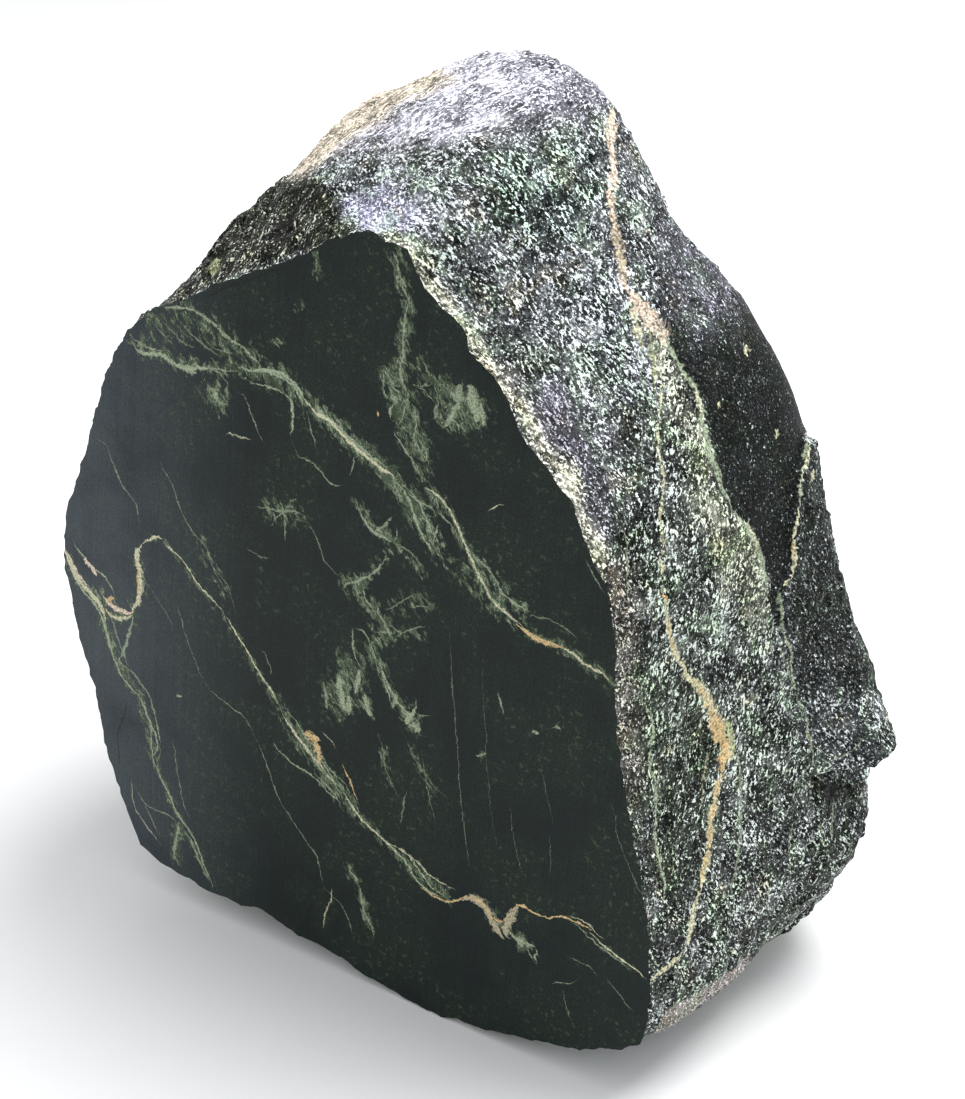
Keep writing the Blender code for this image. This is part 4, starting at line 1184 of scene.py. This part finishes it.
def new_material(name):
    """Node material, its graph, its shader and its object coordinates."""
    material = bpy.data.materials.new(name)
    material.use_nodes = True
    graph = Graph(material.node_tree)
    shader = material.node_tree.nodes["Principled BSDF"]
    return material, graph, shader, graph.add("ShaderNodeTexCoord").outputs["Object"]


def off_middle(graph, tone):
    """How far a noise is from its middle tone, small along thin threads."""
    return graph.math("ABSOLUTE", graph.math("SUBTRACT", tone, MIDDLE[0]))


def plume_paint(graph, base, flat, plume, colours):
    """Plumes: a green fill, a web of sage threads and pale lumps."""
    wisps = graph.streaks(flat, *WISPS, 4.0, 0.68)
    level = graph.math("MULTIPLY_ADD", wisps, 2.4, graph.math("MULTIPLY_ADD", plume, 0.62, -1.2))
    shown = graph.step(plume, 0.0, 0.2)
    threads = [off_middle(graph, graph.streaks(flat, *strand, 1.0, 0.6)) for strand in STRANDS]
    thin = graph.step(graph.math("MINIMUM", *threads), 0.030, 0.006, 0.0, 0.60)
    layers = (
        (graph.step(level, 0.16, 0.40, 0.0, 0.85), colours.green),
        (graph.math("MULTIPLY", thin, graph.step(level, 0.15, 0.45)), colours.sage),
        (graph.step(level, 0.66, 0.84, 0.0, 0.85), colours.pale))
    for amount, tint in layers:
        base = graph.mix(graph.math("MULTIPLY", amount, shown), base, tint)
    return base


def sawn_material(colours, group):
    """Dark sawn jade with veins, faint saw lines and a blue-grey sheen painted towards its left."""
    material, graph, shader, place = new_material("sawn_jade")
    sheet, _ = sheet_of(graph, place, Vector((1.0, 0.0, 0.0)), Vector((0.0, 0.0, 1.0)), 1.0)
    flat = graph.joined(*sheet)
    ragged = graph.noise(place, FACE_RAGS, 2.0, 0.7)
    cloud = graph.noise(place, FACE_CLOUDS, 3.0, 0.6)
    speck = graph.noise(place, FACE_SPECKS, 2.0, 0.8)
    lines = laid_lines(FACE_VEINS, FACE_PATCHES, on_face)
    masks, halo = all_veins(graph, sheet, group, lines, ragged)

    x = graph.add("ShaderNodeSeparateXYZ", {"Vector": place}).outputs["X"]
    # Painted sheen: the sawn face turns blue-grey towards its left, broken up by clouds.
    painted_sheen = graph.math("MULTIPLY", graph.step(x, -0.030, -0.118), graph.step(cloud, 0.20, 0.62, 0.45, 1.0))
    base = graph.mix(painted_sheen, colours.sawn, colours.painted_sheen)
    mottle = graph.step(graph.math("MULTIPLY_ADD", speck, 0.6, cloud), 0.60, 1.15, 0.0, 0.16)
    base = graph.mix(mottle, base, colours.green)
    plume = graph.math("MULTIPLY_ADD", halo, 0.22, graph.attribute("plume"))
    base = plume_paint(graph, base, flat, plume, colours)
    flecks = graph.math("MULTIPLY", graph.step(cloud, 0.44, 0.58), graph.step(ragged, 0.55, 0.72, 0.0, 0.7))
    base = graph.mix(flecks, base, colours.green)
    saw = graph.streaks(flat, *SAW_LINES, 1.0, 0.5)
    base = graph.scaled(base, graph.step(saw, 0.30, 0.70, 0.88, 1.12))
    base = graph.scaled(base, graph.step(speck, 0.30, 0.70, 0.70, 1.38))
    grain = graph.step(speck, 0.28, 0.60, 0.40, 1.15)
    base = paint_veins(graph, base, masks, grain, graph.step(speck, 0.30, 0.70, 0.70, 1.35), colours)
    graph.feed(shader.inputs["Base Color"], base)
    graph.feed(shader.inputs["Roughness"], graph.step(cloud, 0.3, 0.7, 0.36, 0.50))
    shader.inputs["Specular IOR Level"].default_value = 0.12
    return material


def blades(graph, bent):
    """Tone of matted tremolite blades, lying, upright or raked by region."""
    axes = [graph.vector("DOT_PRODUCT", bent, tuple(axis)) for axis in (SIDE_ACROSS, SIDE_UP, SIDE_OUT)]
    side = graph.joined(*axes)
    tone = graph.streaks(side, *LYING_BLADES, 2.0, 0.75)
    for name, turned in (("upright", UPRIGHT_BLADES), ("raked", RAKED_BLADES)):
        tone = graph.blend(graph.attribute(name), tone, graph.streaks(side, *turned, 2.0, 0.75))
    return tone


def lightness(graph, place, tone, cloud, fine):
    """Lightness of the rough skin: blades, clouds and bright specks, partly pale flecks and partly painted
    glints, as powers of e about the region's middle.
    """
    crowd = graph.step(graph.noise(place, SIDE_CROWDS, 2.0, 0.6), 0.36, 0.64, 0.20, 1.30)
    speck_and_glint = graph.noise(place, SIDE_SPECKS_AND_GLINTS, 0.0)
    swing = graph.math("MULTIPLY", graph.step(tone, 0.47, 0.62, -0.95, 2.35), crowd)
    swing = graph.math("MULTIPLY_ADD", cloud, 6.0, graph.math("ADD", swing, -3.0))
    swing = graph.math("MULTIPLY_ADD", fine, 4.0, graph.math("ADD", swing, -2.0))
    swing = graph.math("MULTIPLY", swing, graph.attribute("spread"))
    # Sparse bright specks: partly pale flecks of the stone, partly painted glints.
    swing = graph.math("ADD", swing, graph.step(fine, 0.63, 0.73, 0.0, 2.4))
    swing = graph.math("ADD", swing, graph.step(speck_and_glint, 0.70, 0.77, 0.0, 2.2))
    value = graph.math("EXPONENT", graph.math("ADD", swing, graph.attribute("median")))
    return graph.math("MINIMUM", value, 0.85)


def rough_material(colours, group):
    """Broken jade: dark, crowded with pale blades, veined and stained by region."""
    material, graph, shader, place = new_material("rough_jade")
    sheet, bent = sheet_of(graph, place, SIDE_ACROSS, SIDE_UP, 1.5)
    ragged = graph.noise(place, SIDE_RAGS, 2.0, 0.7)
    fine = graph.noise(place, SIDE_SPECKS, 1.0, 0.6)
    clouds = graph.add(
        "ShaderNodeSeparateColor", {"Color": graph.noise(place, SIDE_CLOUDS, 3.0, 0.7, "Color")}).outputs
    facing = graph.attribute("facing")
    lines = laid_lines(SIDE_VEINS, SIDE_PATCHES, on_side)
    masks, _ = all_veins(graph, sheet, group, lines, ragged)
    masks = {tint: graph.math("MULTIPLY", value, facing) for tint, value in masks.items()}

    hue = graph.mix(graph.step(clouds[1], 0.46, 0.62), (0.98, 1.00, 1.03), (0.92, 1.06, 0.90))
    hue = graph.mix(graph.step(clouds[2], 0.55, 0.68, 0.0, 0.6), hue, (1.12, 1.0, 0.78))
    hue = graph.mix(graph.attribute("raked"), hue, (1.0, 1.0, 1.0))
    hue = graph.vector("MULTIPLY", hue, graph.attribute("tint", "Vector"))
    base = graph.scaled(hue, lightness(graph, place, blades(graph, bent), clouds[0], fine))
    seam = graph.step(off_middle(graph, graph.noise(place, SIDE_SEAMS, 3.0)), 0.0065, 0.002)
    seam = graph.math("MULTIPLY", seam, graph.step(facing, 0.8, 0.2))
    seam = graph.math("MULTIPLY", seam, graph.step(ragged, 0.40, 0.55, 0.1, 0.9))
    pale = graph.scaled(tuple(colours.cream), graph.step(fine, 0.3, 0.7, 0.6, 1.3))
    base = graph.mix(seam, base, pale)
    grain = graph.step(fine, 0.28, 0.55, 0.45, 1.1)
    base = paint_veins(graph, base, masks, grain, graph.step(fine, 0.30, 0.70, 0.65, 1.40), colours)
    graph.feed(shader.inputs["Base Color"], base)

    graph.feed(shader.inputs["Roughness"], graph.step(fine, 0.3, 0.7, 0.38, 0.66))
    shader.inputs["Specular IOR Level"].default_value = 0.04
    bump = graph.add("ShaderNodeBump", {"Height": fine, "Strength": 0.8, "Distance": 0.0010})
    graph.feed(shader.inputs["Normal"], bump.outputs["Normal"])
    return material


def floor_material(tint):
    material, _, shader, _ = new_material("floor")
    shader.inputs["Base Color"].default_value = (*tint, 1.0)
    shader.inputs["Roughness"].default_value = 0.9
    return material


# -------------------------------------------------------------- operators


class JADE_OT_boulder(bpy.types.Operator):
    """Dress the boulder in its broken skin and its two materials"""

    bl_idname = "jade.boulder"
    bl_label = "Jade boulder"

    def execute(self, context):
        colours = context.scene.jade_colours
        stone = bpy.data.objects.new(PIECE, boulder_mesh(context.scene.jade_shape))
        context.scene.collection.objects.link(stone)
        group = track_group()
        stone.data.materials.append(rough_material(colours, group))
        stone.data.materials.append(sawn_material(colours, group))
        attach(stone, "root")
        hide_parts("jade_boulder")
        return {"FINISHED"}


def aim(thing, target):
    thing.rotation_euler = (target - thing.location).to_track_quat("-Z", "Y").to_euler()


def add_floor(scene, tint):
    mesh = bmesh.new()
    bmesh.ops.create_grid(mesh, x_segments=8, y_segments=8, size=4.0)
    data = bpy.data.meshes.new("floor")
    mesh.to_mesh(data)
    mesh.free()
    data.materials.append(floor_material(tint))
    floor = bpy.data.objects.new("floor", data)
    scene.collection.objects.link(floor)


def add_light(scene, stage):
    """Even light from all round, and a soft disk overhead."""
    world = bpy.data.worlds.new("studio")
    world.use_nodes = True
    background = world.node_tree.nodes["Background"].inputs
    background["Color"].default_value = (0.95, 0.97, 1.0, 1.0)
    background["Strength"].default_value = stage.sky
    scene.world = world
    lamp = bpy.data.lights.new("top_light", "AREA")
    lamp.energy = stage.top_light
    lamp.shape = "DISK"
    lamp.size = 0.8
    light = bpy.data.objects.new("top_light", lamp)
    light.location = (0.25, 0.30, 1.15)
    aim(light, Vector((0.0, 0.0, 0.15)))
    scene.collection.objects.link(light)


def add_camera(scene, stage):
    data = bpy.data.cameras.new("camera")
    data.lens = stage.lens
    data.sensor_width = SENSOR
    data.sensor_fit = "AUTO"
    data.clip_start = 0.01
    camera = bpy.data.objects.new("camera", data)
    camera.location = TARGET + direction(stage.azimuth, stage.elevation) * stage.distance
    aim(camera, TARGET)
    scene.collection.objects.link(camera)
    scene.camera = camera


class JADE_OT_stage(bpy.types.Operator):
    """Set the floor, the soft light and the camera"""

    bl_idname = "jade.stage"
    bl_label = "Stage"

    def execute(self, context):
        stage = context.scene.jade_stage
        add_floor(context.scene, stage.floor)
        add_light(context.scene, stage)
        add_camera(context.scene, stage)
        context.scene.view_settings.view_transform = "Standard"
        return {"FINISHED"}


class JADE_PT_panel(bpy.types.Panel):
    """Lists the boulder's operators and settings"""

    bl_idname = "JADE_PT_panel"
    bl_label = "Jade"
    bl_space_type = "VIEW_3D"
    bl_region_type = "UI"
    bl_category = "Jade"

    def draw(self, context):
        layout = self.layout
        for group in (context.scene.jade_shape, context.scene.jade_colours, context.scene.jade_stage):
            for name in group.__annotations__:
                layout.prop(group, name)
        layout.operator(JADE_OT_boulder.bl_idname)
        layout.operator(JADE_OT_stage.bl_idname)


CLASSES = (JadeShape, JadeColours, JadeStage, JADE_OT_boulder, JADE_OT_stage, JADE_PT_panel)


def register():
    for kind in CLASSES:
        bpy.utils.register_class(kind)
    bpy.types.Scene.jade_shape = PointerProperty(type=JadeShape)
    bpy.types.Scene.jade_colours = PointerProperty(type=JadeColours)
    bpy.types.Scene.jade_stage = PointerProperty(type=JadeStage)


def unregister():
    for name in ("jade_stage", "jade_colours", "jade_shape"):
        delattr(bpy.types.Scene, name)
    for kind in reversed(CLASSES):
        bpy.utils.unregister_class(kind)


def main():
    register()
    bpy.ops.jade.boulder()
    bpy.ops.jade.stage()
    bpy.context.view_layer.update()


if __name__ == "__main__":
    main()
